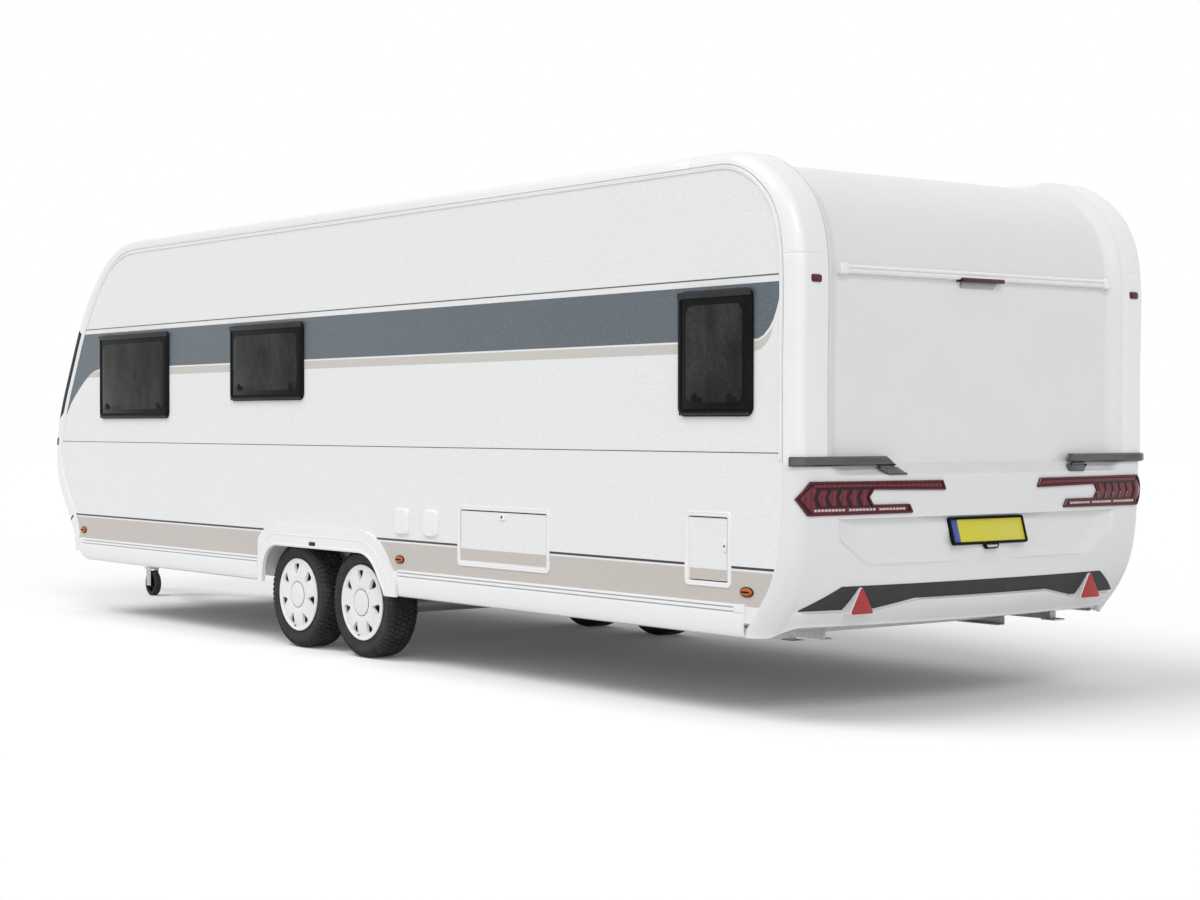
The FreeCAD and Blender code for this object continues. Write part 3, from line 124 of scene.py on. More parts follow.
class Nodes:
    """A material's node tree, with short ways to add to it."""

    def __init__(self, name: str) -> None:
        """Start a material with one surface shader."""
        self.material = bpy.data.materials.new(name)
        self.material.use_nodes = True
        self.tree = self.material.node_tree
        self.shader = self.tree.nodes["Principled BSDF"]
        self.output = self.tree.nodes["Material Output"]
        self._place = None

    def make(self, kind: str, settings: dict, inputs: dict) -> bpy.types.Node:
        """Add a node.

        Args:
            kind: The node's type.
            settings: Its properties, which are set first.
            inputs: Values or links for its sockets, by name or number.

        Returns:
            The new node.
        """
        node = self.tree.nodes.new(kind)
        for key, value in settings.items():
            setattr(node, key, value)
        for key, value in inputs.items():
            self.feed(node.inputs[key], value)
        return node

    def feed(self, socket: Socket, value: object) -> None:
        """Link a wrapped socket to an input, or set the input to a plain value."""
        if isinstance(value, Value):
            self.tree.links.new(value.socket, socket)
        elif isinstance(value, Socket):
            self.tree.links.new(value, socket)
        else:
            socket.default_value = value

    def place(self) -> Socket:
        """The point on the object, in metres."""
        if self._place is None:
            self._place = self.make("ShaderNodeTexCoord", {}, {}).outputs["Object"]
        return self._place

    def moved(self, centre: Sequence[float] = (0, 0, 0), turn: Sequence[float] = (0, 0, 0),
              scale: Sequence[float] = (1, 1, 1)) -> Socket:
        """The point measured from a centre, turned and scaled."""
        shift = self.make("ShaderNodeMapping", {}, {"Vector": self.place(), "Location": [-c for c in centre]})
        node = self.make("ShaderNodeMapping", {},
                         {"Vector": shift.outputs[0], "Rotation": turn, "Scale": scale})
        return node.outputs[0]

    def axis(self, name: str, centre: Sequence[float] = (0, 0, 0)) -> Value:
        """One coordinate of the point, measured from a centre."""
        node = self.make("ShaderNodeSeparateXYZ", {}, {"Vector": self.moved(centre)})
        return Value(self, node.outputs[name])

    def noise(self, scale: float, detail: float = 2.0, rough: float = 0.5,
              vector: Socket = None) -> Value:
        """Cloudy noise between zero and one."""
        node = self.make("ShaderNodeTexNoise", {}, {"Vector": vector or self.place(), "Scale": scale,
                                                    "Detail": detail, "Roughness": rough})
        return Value(self, node.outputs[0])

    def cells(self, scale: float, feature: str = "F1", vector: Socket = None) -> Value:
        """Distance in a pattern of cells."""
        node = self.make("ShaderNodeTexVoronoi", {"feature": feature},
                         {"Vector": vector or self.place(), "Scale": scale})
        return Value(self, node.outputs["Distance"])

    def colours(self, mask: object, first: Sequence[float], second: Sequence[float]) -> Socket:
        """A colour between two, by a mask. A colour may also be another mix's output."""
        node = self.make("ShaderNodeMix", {"data_type": "RGBA"}, {"Factor": mask})
        for socket, colour in ((node.inputs[6], first), (node.inputs[7], second)):
            self.feed(socket, colour if isinstance(colour, Socket) else (*colour, 1))
        return node.outputs[2]

    def bump(self, height: Value, depth: float, strength: float = 1.0,
             base: Socket = None) -> Socket:
        """A normal from a height between zero and one, with its depth in metres."""
        inputs = {"Height": height, "Distance": depth, "Strength": strength}
        if base is not None:
            inputs["Normal"] = base
        return self.make("ShaderNodeBump", {}, inputs).outputs[0]

    def surface(self, **inputs: object) -> bpy.types.Material:
        """Set the shader's sockets, named with underscores for spaces, and return the material."""
        for key, value in inputs.items():
            socket = self.shader.inputs[key.replace("_", " ")]
            if isinstance(value, tuple) and len(value) == 3:
                value = (*value, 1)
            self.feed(socket, value)
        return self.material


# Finishes


@dataclass(frozen=True)
class Finish:
    """A surface finish, made into a material once."""

    name: str

    def paint(self) -> bpy.types.Material:
        """The finish's material, made when it is first asked for."""
        name = self.name + "_look"
        return bpy.data.materials.get(name) or self.mix(Nodes(name))

    def mix(self, nodes: Nodes) -> bpy.types.Material:
        """Build the node tree; each kind of finish has its own."""
        raise NotImplementedError


@dataclass(frozen=True)
class EmbossedSheet(Finish):
    """Coated aluminium sheet rolled with a leather-like grain, plain or under a printed film."""

    colour: Triple
    second: Triple
    gloss: float = 0.42
    grain: float = 0.0011

    def mix(self, nodes: Nodes) -> bpy.types.Material:
        """Grain from two sizes of cells and a fine noise; the colour has a faint cloudiness and painted shade
        that follows the grain's cells.
        """
        stretched = nodes.moved(scale=(1.0, 1.0, 1.25))
        large = nodes.cells(96, "SMOOTH_F1", stretched)
        small = nodes.cells(190, "F1", stretched)
        fine = nodes.noise(300, 3)
        height = large * 0.9 + small * 0.45 + fine * 0.25
        cloud = nodes.noise(1.7, 3)
        # Painted shade: the grain's cell pattern pulls the colour towards the darker second colour, standing
        # in for the grain's shading; the cloud share is a real faint tone.
        hollow = (large + fine * 0.4).ramp(0.2, 0.75)
        colour = nodes.colours(cloud * 0.25 + hollow * 0.75, self.colour, self.second)
        return nodes.surface(Base_Color=colour, Roughness=fine * 0.12 + (self.gloss - 0.06),
                             Normal=nodes.bump(height, self.grain, 0.8), Coat_Weight=0.12,
                             Coat_Roughness=0.25)


@dataclass(frozen=True)
class GlossMoulding(Finish):
    """Thick vacuum-formed plastic or fibreglass: a gloss skin with a slight ripple."""

    colour: Triple
    second: Triple
    gloss: float = 0.24
    ripple: float = 0.00015

    def mix(self, nodes: Nodes) -> bpy.types.Material:
        """A long ripple, a very fine orange peel and dust that dulls the gloss in patches."""
        ripple = nodes.noise(5.0, 2)
        peel = nodes.noise(420, 2)
        dust = nodes.noise(2.3, 5, 0.65).ramp(0.35, 0.75)
        colour = nodes.colours(dust, self.colour, self.second)
        normal = nodes.bump(peel, 0.00008, 0.6, nodes.bump(ripple, self.ripple, 0.6))
        return nodes.surface(Base_Color=colour, Roughness=dust * 0.03 + self.gloss, Normal=normal,
                             Coat_Weight=0.25, Coat_Roughness=0.12)


@dataclass(frozen=True)
class SatinPlastic(Finish):
    """Moulded plastic with a spark-eroded grain."""

    colour: Triple
    second: Triple
    gloss: float = 0.45
    grain: float = 900.0
    depth: float = 0.00012
    shine: float = 0.1

    def mix(self, nodes: Nodes) -> bpy.types.Material:
        """A fine grain with scuffs that lighten the colour and dull the surface."""
        grain = nodes.noise(self.grain, 3)
        scuffs = nodes.noise(14, 6, 0.7).ramp(0.45, 0.8)
        colour = nodes.colours(scuffs, self.colour, self.second)
        return nodes.surface(Base_Color=colour, Roughness=scuffs * 0.15 + self.gloss,
                             Specular_IOR_Level=self.shine, Normal=nodes.bump(grain, self.depth, 0.8))


@dataclass(frozen=True)
class DarkGlass(Finish):
    """Dark acrylic with the folded blind and the room's dusk behind it."""

    colour: Triple = (0.004, 0.004, 0.0045)
    second: Triple = (0.013, 0.0135, 0.014)

    def mix(self, nodes: Nodes) -> bpy.types.Material:
        """Mottled dark greys in soft upright streaks, with a clear gloss over them."""
        streaks = nodes.noise(2.6, 5, 0.62, nodes.moved(scale=(1.6, 1.0, 0.8)))
        speck = nodes.noise(46, 4, 0.7)
        colour = nodes.colours((streaks * 0.75 + speck * 0.3).ramp(0.36, 0.86), self.colour, self.second)
        return nodes.surface(Base_Color=colour, Roughness=speck * 0.05 + 0.07, Specular_IOR_Level=0.07)


@dataclass(frozen=True)
class LampLens(Finish):
    """Moulded lens: deep colour, ribs inside and a polished face."""

    colour: Triple
    second: Triple
    rib_pitch: float = 0.012
    axis_name: str = "Y"

    def mix(self, nodes: Nodes) -> bpy.types.Material:
        """Ribs across one axis as waves, with painted shade between them."""
        ribs = (nodes.axis(self.axis_name) * (2 * math.pi / self.rib_pitch)).wave() * 0.5 + 0.5
        fleck = nodes.noise(160, 2)
        # Painted shade: the rib waves darken the colour between the ribs; the fleck is a real fine tone.
        colour = nodes.colours(ribs * 0.7 + fleck * 0.3, self.colour, self.second)
        return nodes.surface(Base_Color=colour, Roughness=fleck * 0.05 + 0.08,
                             Normal=nodes.bump(ribs, 0.0006, 0.35), Specular_IOR_Level=0.22,
                             Coat_Weight=0.1, Coat_Roughness=0.05)


@dataclass(frozen=True)
class DarkChrome(Finish):
    """Vapour-darkened chrome on a moulded handle."""

    def mix(self, nodes: Nodes) -> bpy.types.Material:
        """Smoky metal with faint wipe marks and painted reflection streaks."""
        wipe_and_reflection = nodes.noise(9, 4, 0.6, nodes.moved(scale=(1, 0.2, 2.0)))
        # The streaky mask is partly wipe marks and partly painted reflections, which darken and lighten the
        # metal's colour in streaks.
        colour = nodes.colours(wipe_and_reflection, (0.03, 0.031, 0.033), (0.17, 0.173, 0.178))
        return nodes.surface(Base_Color=colour, Metallic=0.9, Roughness=wipe_and_reflection * 0.12 + 0.13)


@dataclass(frozen=True)
class TyreRubber(Finish):
    """Tyre rubber: matt black with rings on the wall and dust in the tread."""

    centre: Triple

    def mix(self, nodes: Nodes) -> bpy.types.Material:
        """Fine rings round the wheel's centre, by distance, over a dusty grain."""
        x, z = nodes.axis("X", self.centre), nodes.axis("Z", self.centre)
        radius = (x * x + z * z).root()
        rings = (radius * (2 * math.pi / 0.009)).wave() * 0.5 + 0.5
        grain = nodes.noise(520, 3)
        dust = nodes.noise(11, 5, 0.7).ramp(0.4, 0.8)
        colour = nodes.colours(dust, (0.02, 0.0205, 0.021), (0.048, 0.048, 0.047))
        normal = nodes.bump(grain, 0.0002, 0.7, nodes.bump(rings, 0.00025, 0.4))
        return nodes.surface(Base_Color=colour, Roughness=dust * 0.12 + 0.6, Normal=normal,
                             Specular_IOR_Level=0.2)


@dataclass(frozen=True)
class RawMetal(Finish):
    """Galvanised or cast metal, by its colours, its metallic share and the size of its spangle."""

    colour: Triple
    second: Triple
    metal: float = 0.85
    gloss: float = 0.38
    spangle: float = 60.0

    def mix(self, nodes: Nodes) -> bpy.types.Material:
        """Crystal patches from cells, with pits and dull smears."""
        crystals = nodes.cells(self.spangle, "F1")
        smear = nodes.noise(6, 5, 0.65)
        colour = nodes.colours(crystals * 0.6 + smear * 0.5, self.colour, self.second)
        return nodes.surface(Base_Color=colour, Metallic=self.metal, Roughness=smear * 0.25 + self.gloss,
                             Normal=nodes.bump(nodes.noise(240, 3), 0.0002, 0.6))


@dataclass(frozen=True)
class FloorBoard(Finish):
    """Phenol-coated plywood under the floor."""

    def mix(self, nodes: Nodes) -> bpy.types.Material:
        """Long grain along the caravan under a dull brown-grey coat."""
        grain = nodes.noise(8, 6, 0.6, nodes.moved(scale=(0.6, 9, 9)))
        colour = nodes.colours(grain, (0.1, 0.085, 0.07), (0.2, 0.18, 0.15))
        return nodes.surface(Base_Color=colour, Roughness=grain * 0.15 + 0.6,
                             Normal=nodes.bump(grain, 0.0004, 0.6))


@dataclass(frozen=True)
class PlateFilm(Finish):
    """Plain reflective sheeting, with its fine honeycomb."""

    colour: Triple
    second: Triple

    def mix(self, nodes: Nodes) -> bpy.types.Material:
        """A honeycomb of small cells with a light sheen over one flat colour."""
        comb = nodes.cells(330, "DISTANCE_TO_EDGE").ramp(0.02, 0.08)
        fade = nodes.noise(5, 3)
        colour = nodes.colours(comb * 0.6 + fade * 0.4, self.second, self.colour)
        return nodes.surface(Base_Color=colour, Roughness=fade * 0.1 + 0.26,
                             Normal=nodes.bump(comb, 0.0001, 0.5), Coat_Weight=0.3, Coat_Roughness=0.1)


WHITE_SHEET = EmbossedSheet("white_sheet", (0.85, 0.85, 0.848), (0.77, 0.77, 0.772), 0.42, 0.0014)
GREY_FILM = EmbossedSheet("grey_film", (0.125, 0.155, 0.178), (0.078, 0.1, 0.12), 0.4, 0.0016)
BEIGE_FILM = EmbossedSheet("beige_film", (0.6, 0.565, 0.53), (0.55, 0.52, 0.49), 0.42, 0.0011)
PALE_BEIGE = EmbossedSheet("pale_beige_film", (0.56, 0.52, 0.48), (0.52, 0.48, 0.45), 0.42, 0.0011)
DARK_LINE = EmbossedSheet("dark_line_film", (0.012, 0.013, 0.014), (0.02, 0.02, 0.021), 0.35, 0.0008)
GREY_LINE = EmbossedSheet("grey_line_film", (0.06, 0.065, 0.07), (0.08, 0.085, 0.09), 0.35, 0.0008)
WHITE_MOULDING = GlossMoulding("white_moulding", (0.82, 0.82, 0.822), (0.805, 0.805, 0.808))
# The rear panel and bumper get a darker copy of the white moulding: painted shade for the rear faces.
SHADED_REAR_WHITE = GlossMoulding("shaded_rear_white", (0.735, 0.737, 0.74), (0.72, 0.722, 0.726), 0.3)
# This grey paints shade: the shadow under the brake lamp and the shade in the skirt rail's grooves.
PAINTED_SHADE_GREY = GlossMoulding("grey_moulding", (0.42, 0.425, 0.43), (0.38, 0.385, 0.39), 0.3)
BLACK_FRAME = SatinPlastic("black_frame", (0.006, 0.006, 0.0065), (0.013, 0.013, 0.014), 0.36, shine=0.06)
GREY_TRIM = SatinPlastic("grey_trim", (0.03, 0.031, 0.033), (0.05, 0.052, 0.055), 0.36)
DARK_TRIM = SatinPlastic("dark_trim", (0.048, 0.049, 0.05), (0.062, 0.063, 0.065), 0.5)
SMOKED_LID = GlossMoulding("smoked_lid", (0.09, 0.095, 0.1), (0.13, 0.134, 0.14), 0.16)
WHEEL_STEEL = RawMetal("wheel_steel", (0.09, 0.09, 0.092), (0.15, 0.15, 0.152), 0.6, 0.4, 90.0)
WINDOW_GLASS = DarkGlass("window_glass")
INNER_PANE = DarkGlass("inner_pane", (0.015, 0.0155, 0.016), (0.062, 0.064, 0.066))
RED_LENS = LampLens("red_lens", (0.06, 0.007, 0.013), (0.115, 0.015, 0.025))
RED_CORE = LampLens("red_core", (0.1, 0.012, 0.02), (0.19, 0.03, 0.044), 0.03)
DARK_RED = LampLens("dark_red_lens", (0.013, 0.002, 0.003), (0.024, 0.004, 0.006), 0.02)
BRIGHT_RED = LampLens("bright_red_reflector", (0.34, 0.026, 0.028), (0.44, 0.042, 0.042), 0.006)
CLEAR_LENS = LampLens("clear_lens", (0.42, 0.34, 0.36), (0.74, 0.68, 0.7), 0.011)
AMBER_LENS = LampLens("amber_lens", (0.3, 0.06, 0.008), (0.58, 0.14, 0.016), 0.009, "Z")
HANDLE_CHROME = DarkChrome("dark_chrome")
CAP_LACQUER = GlossMoulding("cap_lacquer", (0.8, 0.802, 0.806), (0.74, 0.742, 0.75), 0.26, 0.0001)
GALVANISED = RawMetal("galvanised", (0.42, 0.43, 0.44), (0.6, 0.61, 0.62))
CAST_BLACK = RawMetal("cast_black", (0.02, 0.02, 0.021), (0.04, 0.04, 0.042), 0.3, 0.5, 200.0)
STEEL = RawMetal("bright_steel", (0.5, 0.51, 0.52), (0.66, 0.67, 0.68), 0.95, 0.22, 160.0)
FLOOR_PLY = FloorBoard("floor_ply")
PLATE_YELLOW = PlateFilm("plate_yellow", (0.66, 0.61, 0.015), (0.55, 0.5, 0.02))
PLATE_BLUE = PlateFilm("plate_blue", (0.005, 0.05, 0.33), (0.004, 0.04, 0.26))
JOCKEY_RUBBER = TyreRubber("jockey_rubber", JOCKEY_AXLE)


# Studio


@dataclass
class Studio:
    """The photograph's viewpoint, soft light and a pale floor."""

    eye: Triple = (-11.4525, 7.972, 1.389)
    yaw: float = -35.77
    pitch: float = -0.74
    lens: float = 63.7
    shift: float = 0.1
    key: float = 1.25
    fill: float = 0.8
    high: float = 0.62
    sky: float = 0.47
    floor_lift: float = 0.055
    floor_reach: float = 60.0

    def build(self) -> None:
        """Make the camera, the lamps, the world and the floor."""
        self._camera()
        self._lamps()
        self._world()
        self._floor()
        bpy.context.scene.view_settings.view_transform = "Standard"

    def _camera(self) -> None:
        """A level camera with a small sideways shift, looking along yaw and pitch."""
        data = bpy.data.cameras.new("photo_camera")
        data.lens, data.sensor_width, data.shift_x = self.lens, 36, self.shift
        data.sensor_fit = "HORIZONTAL"
        data.clip_end = 200
        camera = bpy.data.objects.new("photo_camera", data)
        camera.location = self.eye
        camera.rotation_euler = (math.radians(90 + self.pitch), 0, math.radians(self.yaw - 90))
        bpy.context.collection.objects.link(camera)
        bpy.context.scene.camera = camera

    def _lamps(self) -> None:
        """A broad key from the left and ahead, a low fill from behind and a smaller high one there."""
        lamps = (("key", self.key, 38, (-0.34, -0.62, -1.0)), ("fill", self.fill, 60, (1.0, -0.6, -0.3)),
                 ("high", self.high, 20, (1.0, -0.55, -0.85)))
        for name, power, spread, aim in lamps:
            data = bpy.data.lights.new(name, "SUN")
            data.energy, data.angle = power, math.radians(spread)
            lamp = bpy.data.objects.new(name, data)
            direction = np.array(aim) / np.linalg.norm(aim)
            lamp.rotation_euler = (math.acos(-direction[2]), 0,
                                   math.atan2(direction[1], direction[0]) - math.pi / 2)
            lamp.location = (-4, 6, 8)
            bpy.context.collection.objects.link(lamp)

    def _world(self) -> None:
        """Soft light from everywhere; the camera, gloss and glass see plain white."""
        world = bpy.data.worlds.new("studio")
        bpy.context.scene.world = world
        world.use_nodes = True
        tree = world.node_tree
        path = tree.nodes.new("ShaderNodeLightPath")
        plain = tree.nodes.new("ShaderNodeBackground")
        plain.inputs["Strength"].default_value = 1.0
        plain.inputs["Color"].default_value = (1, 1, 1, 1)
        soft = tree.nodes["Background"]
        soft.inputs["Color"].default_value = (0.98, 0.99, 1.0, 1)
        soft.inputs["Strength"].default_value = self.sky
        seen = tree.nodes.new("ShaderNodeMath")
        seen.operation, seen.use_clamp = "ADD", True
        both = tree.nodes.new("ShaderNodeMath")
        both.operation, both.use_clamp = "ADD", True
        tree.links.new(path.outputs["Is Camera Ray"], both.inputs[0])
        tree.links.new(path.outputs["Is Glossy Ray"], both.inputs[1])
        tree.links.new(both.outputs[0], seen.inputs[0])
        tree.links.new(path.outputs["Is Transmission Ray"], seen.inputs[1])
        join = tree.nodes.new("ShaderNodeMixShader")
        tree.links.new(seen.outputs[0], join.inputs[0])
        tree.links.new(soft.outputs[0], join.inputs[1])
        tree.links.new(plain.outputs[0], join.inputs[2])
        tree.links.new(join.outputs[0], tree.nodes["World Output"].inputs["Surface"])

    def _floor(self) -> None:
        """A wide pale floor that keeps the caravan's shadow and meets the white background."""
        nodes = Nodes("studio_floor")
        cloud = nodes.noise(0.4, 2)
        nodes.surface(Base_Color=nodes.colours(cloud, (0.8, 0.8, 0.8), (0.79, 0.79, 0.79)), Roughness=0.9,
                      Specular_IOR_Level=0.0)
        path = nodes.make("ShaderNodeLightPath", {}, {})
        lift = nodes.make("ShaderNodeEmission", {}, {"Color": (1, 1, 1, 1), "Strength": self.floor_lift})
        pale = nodes.make("ShaderNodeBsdfDiffuse", {}, {"Color": (0.97, 0.97, 0.97, 1)})
        total = nodes.make("ShaderNodeAddShader", {}, {0: pale.outputs[0], 1: lift.outputs[0]})
        seen = Value(nodes, path.outputs["Is Camera Ray"]) + Value(nodes, path.outputs["Is Glossy Ray"])
        either = seen + Value(nodes, path.outputs["Is Transmission Ray"])
        join = nodes.make("ShaderNodeMixShader", {},
                          {0: either, 1: nodes.shader.outputs[0], 2: total.outputs[0]})
        nodes.feed(nodes.output.inputs["Surface"], join.outputs[0])
        mesh = bpy.data.meshes.new("studio_floor")
        reach = self.floor_reach
        mesh.from_pydata([(-reach, -reach, 0), (reach, -reach, 0), (reach, reach, 0), (-reach, reach, 0)], [],
                         [(0, 1, 2, 3)])
        mesh.materials.append(nodes.material)
        floor = bpy.data.objects.new("studio_floor", mesh)
        bpy.context.collection.objects.link(floor)


# Meshes


def filed(obj: bpy.types.Object, finish: Finish, body: str, slot: str) -> bpy.types.Object:
    """Give a piece its finish and its body, and report it."""
    obj.data.materials.clear()
    obj.data.materials.append(finish.paint())
    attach(obj, body)
    LOG.info("%s on %s", obj.name, body)
    return obj


def refined(node: str, finish: Finish, body: str, slot: str, edge: float = 0.0) -> bpy.types.Object:
    """A merged copy of a CAD node with smooth shading and softened edges, standing for the node.

    Args:
        node: The CAD node.
        finish: The copy's finish.
        body: The body it rides on.
        slot: Its material slot in the record; not used.
        edge: The radius of the softened edges, in metres.

    Returns:
        The new piece.
    """
    mesh = frame["nodes"][node].data.copy()
    mesh.name = node + "_fine"
    work = bmesh.new()
    work.from_mesh(mesh)
    bmesh.ops.remove_doubles(work, verts=work.verts, dist=CAD_WELD)
    bmesh.ops.dissolve_limit(work, angle_limit=math.radians(0.4), verts=work.verts, edges=work.edges)
    work.to_mesh(mesh)
    work.free()
    obj = shaded(node + "_fine", mesh, CAD_SHARP)
    if edge:
        bevel = obj.modifiers.new("soft_edges", "BEVEL")
        bevel.width, bevel.segments, bevel.limit_method = edge, 2, "ANGLE"
        bevel.angle_limit = math.radians(CAD_SHARP)
        bevel.harden_normals = False
    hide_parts(node)
    return filed(obj, finish, body, slot)


# Shapes


class Shape:
    """Points and faces of one or more closed surfaces, in metres. A plus sign joins two."""

    def __init__(self, points: Array, faces: list) -> None:
        """Keep the points as an array of three columns and the faces as lists of rows."""
        self.points = np.asarray(points, float).reshape(-1, 3)
        self.faces = faces

    def __add__(self, other: "Shape") -> "Shape":
        """Both shapes as one."""
        shift = len(self.points)
        faces = self.faces + [[i + shift for i in face] for face in other.faces]
        return Shape(np.vstack([self.points, other.points]), faces)

    def mirrored(self) -> "Shape":
        """The shape on the other side of the caravan."""
        return Shape(self.points * np.array([1, -1, 1]), [face[::-1] for face in self.faces])


def joined(shapes: Sequence[Shape]) -> Shape:
    """Many shapes as one, with their faces' rows shifted along."""
    shifts = np.cumsum([0] + [len(s.points) for s in shapes])
    faces = [[i + int(shift) for i in face] for s, shift in zip(shapes, shifts) for face in s.faces]
    return Shape(np.vstack([s.points for s in shapes]), faces)


def grid_faces(rows: int, columns: int, round_rows: bool = False, round_columns: bool = False) -> list:
    """Quads between neighbours on a grid whose points are stored row by row."""
    i = np.arange(rows if round_rows else rows - 1)[:, None]
    j = np.arange(columns if round_columns else columns - 1)[None, :]
    a, b = i * columns + j, i * columns + (j + 1) % columns
    c, d = (i + 1) % rows * columns + (j + 1) % columns, (i + 1) % rows * columns + j
    return np.stack([a, b, c, d], axis=-1).reshape(-1, 4).tolist()


def tube(rings: Array, closed: bool = False) -> Shape:
    """Closed loops of points joined along their order, with a cap at each end unless closed."""
    rows, columns = rings.shape[:2]
    faces = grid_faces(rows, columns, closed, True)
    if not closed:
        faces += [list(range(columns))[::-1], list(range((rows - 1) * columns, rows * columns))]
    return Shape(rings, faces)


def slab(outer: Array, inner: Array) -> Shape:
    """A closed sheet between two grids of the same size: each row's loop runs out and back."""
    return tube(np.concatenate([outer, inner[:, ::-1]], axis=1))


def rounded_box(u0: float, v0: float, u1: float, v1: float, radius: float, per_corner: int = 7) -> Array:
    """A rounded rectangle's outline, anticlockwise: each corner is a quarter circle."""
    a = np.linspace(0, math.pi / 2, per_corner)
    loops = []
    for k, (cu, cv) in enumerate(((u1 - radius, v0 + radius), (u1 - radius, v1 - radius),
                                  (u0 + radius, v1 - radius), (u0 + radius, v0 + radius))):
        turn = a + (k - 1) * math.pi / 2
        loops.append(np.column_stack([cu + radius * np.cos(turn), cv + radius * np.sin(turn)]))
    return np.vstack(loops)


def softened(corners: Sequence[Triple], per_corner: int = 6) -> Array:
    """An outline whose corners (u, v, radius) are rounded by arcs that touch both sides."""
    rounded = []
    points = np.array([c[:2] for c in corners], float)
    for k, (*_, radius) in enumerate(corners):
        here = points[k]
        back, on = points[k - 1] - here, points[(k + 1) % len(corners)] - here
        back, on = back / np.linalg.norm(back), on / np.linalg.norm(on)
        half = math.acos(max(-1.0, min(1.0, float(back @ on)))) / 2
        if radius <= 0 or half > 1.55:
            rounded.append(here[None])
            continue
        reach = radius / math.tan(half)
        middle = here + (back + on) / np.linalg.norm(back + on) * radius / math.sin(half)
        first, last = here + back * reach - middle, here + on * reach - middle
        t = np.linspace(0, 1, per_corner)[:, None]
        sweep = math.pi - 2 * half
        arc = (np.sin((1 - t) * sweep) * first + np.sin(t * sweep) * last) / math.sin(sweep)
        rounded.append(middle + arc)
    return np.vstack(rounded)


def inset(outline: Array, depth: float) -> Array:
    """An outline drawn in by a depth: each point moves along the bisector of its two sides."""
    back = outline - np.roll(outline, 1, axis=0)
    on = np.roll(outline, -1, axis=0) - outline
    area = np.sum(outline[:, 0] * np.roll(outline[:, 1], -1) - outline[:, 1] * np.roll(outline[:, 0], -1))
    unit = [e / np.maximum(np.linalg.norm(e, axis=1, keepdims=True), 1e-9) for e in (back, on)]
    normals = [np.column_stack([-e[:, 1], e[:, 0]]) * np.sign(area) for e in unit]
    middle = normals[0] + normals[1]
    stretch = 2 / np.maximum(np.sum(middle * middle, axis=1, keepdims=True), 0.5)
    return outline + middle * stretch * depth


def on_side(outline: Array, height: float, side: int) -> Array:
    """Outline points (x, z) laid on a side wall, at a height off it."""
    return np.column_stack([outline[:, 0], np.full(len(outline), side * (HALF_WIDTH + height)),
                            outline[:, 1]])


def on_flat(outline: Array, height: float) -> Array:
    """Outline points (u, v) with their height as the third coordinate, to be bent or laid later."""
    return np.column_stack([outline, np.full(len(outline), height)])


Lay = Callable[[Array, float], Array]


def wall_lay(side: int) -> Lay:
    """The way to lay an outline on one side wall."""
    return lambda outline, height: on_side(outline, height, side)


def back_lay(face: float) -> Lay:
    """The way to lay an outline (y, z) on an upright plane across the caravan, facing back."""
    return lambda outline, height: np.column_stack([np.full(len(outline), face - height), outline])


def about(outline: Array, centre: Sequence[float], off: float) -> Array:
    """Outline points (x, z) measured from a centre, at a side distance from it."""
    return np.column_stack([centre[0] + outline[:, 0], np.full(len(outline), centre[1] + off),
                            centre[2] + outline[:, 1]])


def spun(outline: Array, angle: float) -> Array:
    """An outline turned about its origin by an angle in radians."""
    c, s = math.cos(angle), math.sin(angle)
    return np.column_stack([outline[:, 0] * c - outline[:, 1] * s, outline[:, 0] * s + outline[:, 1] * c])


def prism(outline: Array, low: float, high: float, lay: Lay) -> Shape:
    """An outline carried straight from one height to another."""
    return tube(np.stack([lay(outline, low), lay(outline, high)]))


def plate(outline: Array, foot: float, top: float, soft: float, lay: Lay, steps: int = 3) -> Shape:
    """A flat plate with a rounded upper edge: the outline rises, then turns in by a quarter circle."""
    a = np.linspace(0, math.pi / 2, steps + 1)
    profile = [(0.0, foot)] + [(soft * (1 - math.cos(t)), top - soft + soft * math.sin(t)) for t in a]
    return tube(np.stack([lay(inset(outline, d), h) for d, h in profile]))


def frame_ring(outline: Array, profile: Sequence[tuple[float, float]], lay: Lay) -> Shape:
    """A closed profile of (inset, height) carried round an outline."""
    return tube(np.stack([lay(inset(outline, d), h) for d, h in profile]), closed=True)


def on_circle(centre: Sequence[float], side: Array, radius: Array, a: Array) -> Array:
    """Points round a sideways axis: side along it, radius from it, at an angle from straight up."""
    return np.stack([centre[0] + radius * np.sin(a), centre[1] + side + 0 * a,
                     centre[2] + radius * np.cos(a)], axis=-1)


def turned_ring(profile: Array, centre: Sequence[float], count: int, closed: bool = True) -> Shape:
    """A profile of (side, radius) turned round a sideways axis; a closed profile makes a ring."""
    a = np.linspace(0, 2 * math.pi, count, endpoint=False)[:, None]
    side, radius = profile[None, :, 0], profile[None, :, 1]
    return Shape(on_circle(centre, side, radius, a), grid_faces(count, len(profile), True, closed))


def swept(path: Array, section: Array, up: Sequence[float] = (0, 0, 1)) -> Shape:
    """A closed section (across, up) carried along an open path of points, with capped ends."""
    ahead = np.gradient(path, axis=0)
    ahead /= np.linalg.norm(ahead, axis=1, keepdims=True)
    side = np.cross(np.array(up, float), ahead)
    side /= np.linalg.norm(side, axis=1, keepdims=True)
    rise = np.cross(ahead, side)
    rings = path[:, None] + side[:, None] * section[None, :, :1] + rise[:, None] * section[None, :, 1:]
    return tube(rings)


def circle(radius: float, count: int = 16, centre: tuple[float, float] = (0.0, 0.0)) -> Array:
    """A round outline."""
    a = np.linspace(0, 2 * math.pi, count, endpoint=False)
    return np.column_stack([centre[0] + radius * np.cos(a), centre[1] + radius * np.sin(a)])


